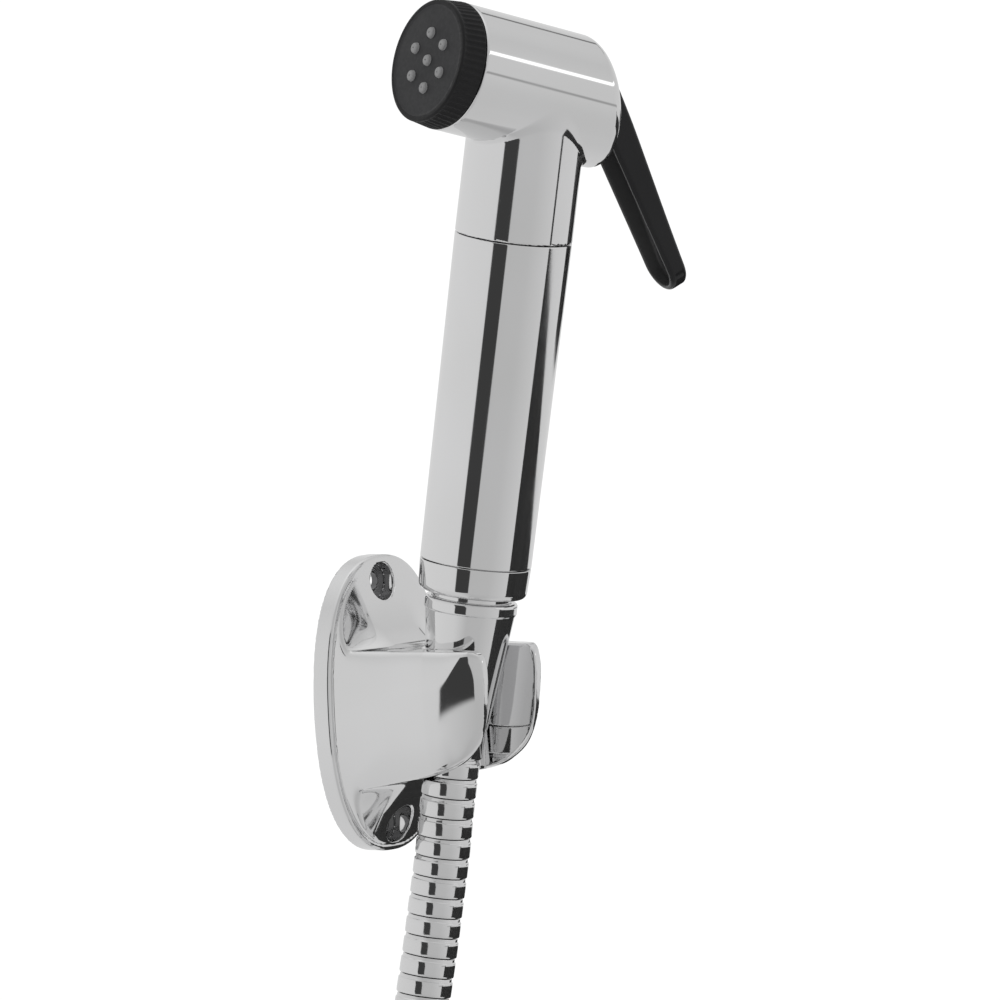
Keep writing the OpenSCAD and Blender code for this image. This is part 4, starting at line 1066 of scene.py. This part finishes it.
def blend_colour(kind, factor, a, b):
    mix = nt.nodes.new("ShaderNodeMix")
    mix.data_type = "RGBA"
    mix.blend_type = kind
    for place, value in (("Factor_Float", factor), ("A_Color", a), ("B_Color", b)):
        socket = next(s for s in mix.inputs if s.identifier == place)
        if isinstance(value, (int, float)):
            socket.default_value = value if place == "Factor_Float" else (value, value, value, 1)
        else:
            nt.links.new(value, socket)
    return next(s for s in mix.outputs if s.identifier == "Result_Color")


coord = nt.nodes.new("ShaderNodeTexCoord").outputs["Generated"]
flat_to = np.array([to_camera[0], to_camera[1], 0])
flat_to /= np.linalg.norm(flat_to)
# Bearing, 0 at the side of the room with the camera and growing to the right, and elevation
bearing = math_node("MULTIPLY", math_node("ARCTAN2", along(coord, side), along(coord, flat_to)),
                    180 / math.pi)
elevation = math_node("MULTIPLY", math_node("ARCSINE", along(coord, (0, 0, 1))), 180 / math.pi)
walls = ramp(bearing, -180, 180, [
    (-180, 0.80), (-120, 0.82), (-40, 0.78), (-10, 0.60), (30, 0.62), (76, 0.74), (120, 0.76), (180, 0.80)])
heights = ramp(elevation, -90, 90, [
    (-90, 0.82), (-30, 0.88), (-8, 0.94), (15, 0.92), (36, 0.84), (60, 1.0), (90, 1.2)])
room = blend_colour("MULTIPLY", 1.0, walls, heights)
# Flags and strips of the studio: bearings, elevations, soft edge, level
CARDS = [
    (-40, -12, -17.5, 25, 1.0, 0.05),      # dark flag left of the camera
    (70, 95, 16.5, 20.5, 0.8, 1.5),        # light strip above
    (60, 80, -10.4, -7.2, 1.2, 0.38),      # thin rail below it
    (140, 180, 28.5, 31.5, 0.8, 0.20),     # beam behind the object
]
for b0, b1, e0, e1, soft, level in CARDS:
    card = math_node("MULTIPLY", within(bearing, b0, b1, soft), within(elevation, e0, e1, soft))
    room = blend_colour("MIX", card, room, level)
# The room lights the object and shows in its chrome; the camera itself sees a plain background
studio = nt.nodes.new("ShaderNodeBackground")
nt.links.new(room, studio.inputs["Color"])
studio.inputs["Strength"].default_value = 1.0
plain = nt.nodes.new("ShaderNodeBackground")
plain.inputs["Color"].default_value = (1, 1, 1, 1)
plain.inputs["Strength"].default_value = 1.05
ray = nt.nodes.new("ShaderNodeLightPath")
choose = nt.nodes.new("ShaderNodeMixShader")
nt.links.new(ray.outputs["Is Camera Ray"], choose.inputs["Fac"])
nt.links.new(studio.outputs[0], choose.inputs[1])
nt.links.new(plain.outputs[0], choose.inputs[2])
out = nt.nodes.new("ShaderNodeOutputWorld")
nt.links.new(choose.outputs[0], out.inputs["Surface"])
scene.view_settings.view_transform = "Standard"


def backdrop(name, points, faces, material):
    mesh = bpy.data.meshes.new(name)
    mesh.from_pydata(points, [], faces)
    mesh.materials.append(material)
    o = bpy.data.objects.new(name, mesh)
    scene.collection.objects.link(o)
    return o


FLOOR_R, FLOOR_SIDES = 1.4, 96              # in metres
floor_z = float(min(v[2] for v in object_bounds())) - 0.004
angles = [2 * math.pi * i / FLOOR_SIDES for i in range(FLOOR_SIDES)]
floor = backdrop("floor", [(FLOOR_R * math.cos(t), FLOOR_R * math.sin(t), floor_z) for t in angles],
                 [list(range(FLOOR_SIDES))],
                 surface("pale_floor", (0.86, 0.86, 0.86), 0.7, ((0.85, 0.85, 0.85), (0.87, 0.87, 0.87)),
                         cloud=(3, 2)))
floor.visible_glossy = False
floor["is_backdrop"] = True

# Dark table and shelf behind the object on the right, seen only in the chrome: bearing, top and foot
TABLE_R = 1500.0
table_edge = [(75.2, -240, -900), (78.8, -240, -900), (79.4, -345, -900), (94.7, -342, -900),
              (104, -337, -900), (114, -327, -1500), (133, -285, -1500), (147, -262, -1500),
              (176, -250, -1500)]
shelf = [(130, -20, -235), (141, -20, -195), (149, -20, -160), (157, -20, -105)]
points, faces = [], []
for strip in (table_edge, shelf):
    for k, (b0, top, foot) in enumerate(strip):
        t = math.radians(b0)
        out_at = TABLE_R * (math.cos(t) * flat_to + math.sin(t) * np.array([side[0], side[1], 0]))
        points += [(out_at[0], out_at[1], top), (out_at[0], out_at[1], foot)]
        n = len(points)
        if k:
            faces.append((n - 4, n - 3, n - 1, n - 2))
table = backdrop("table_edge", (np.array(points) * MM).tolist(), faces,
                 surface("dark_table", (0.03, 0.03, 0.03), 0.8, ((0.025, 0.025, 0.025), (0.035, 0.035, 0.035)),
                         cloud=(3, 2)))
table.visible_camera = table.visible_diffuse = table.visible_shadow = False
table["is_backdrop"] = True

bpy.context.view_layer.update()
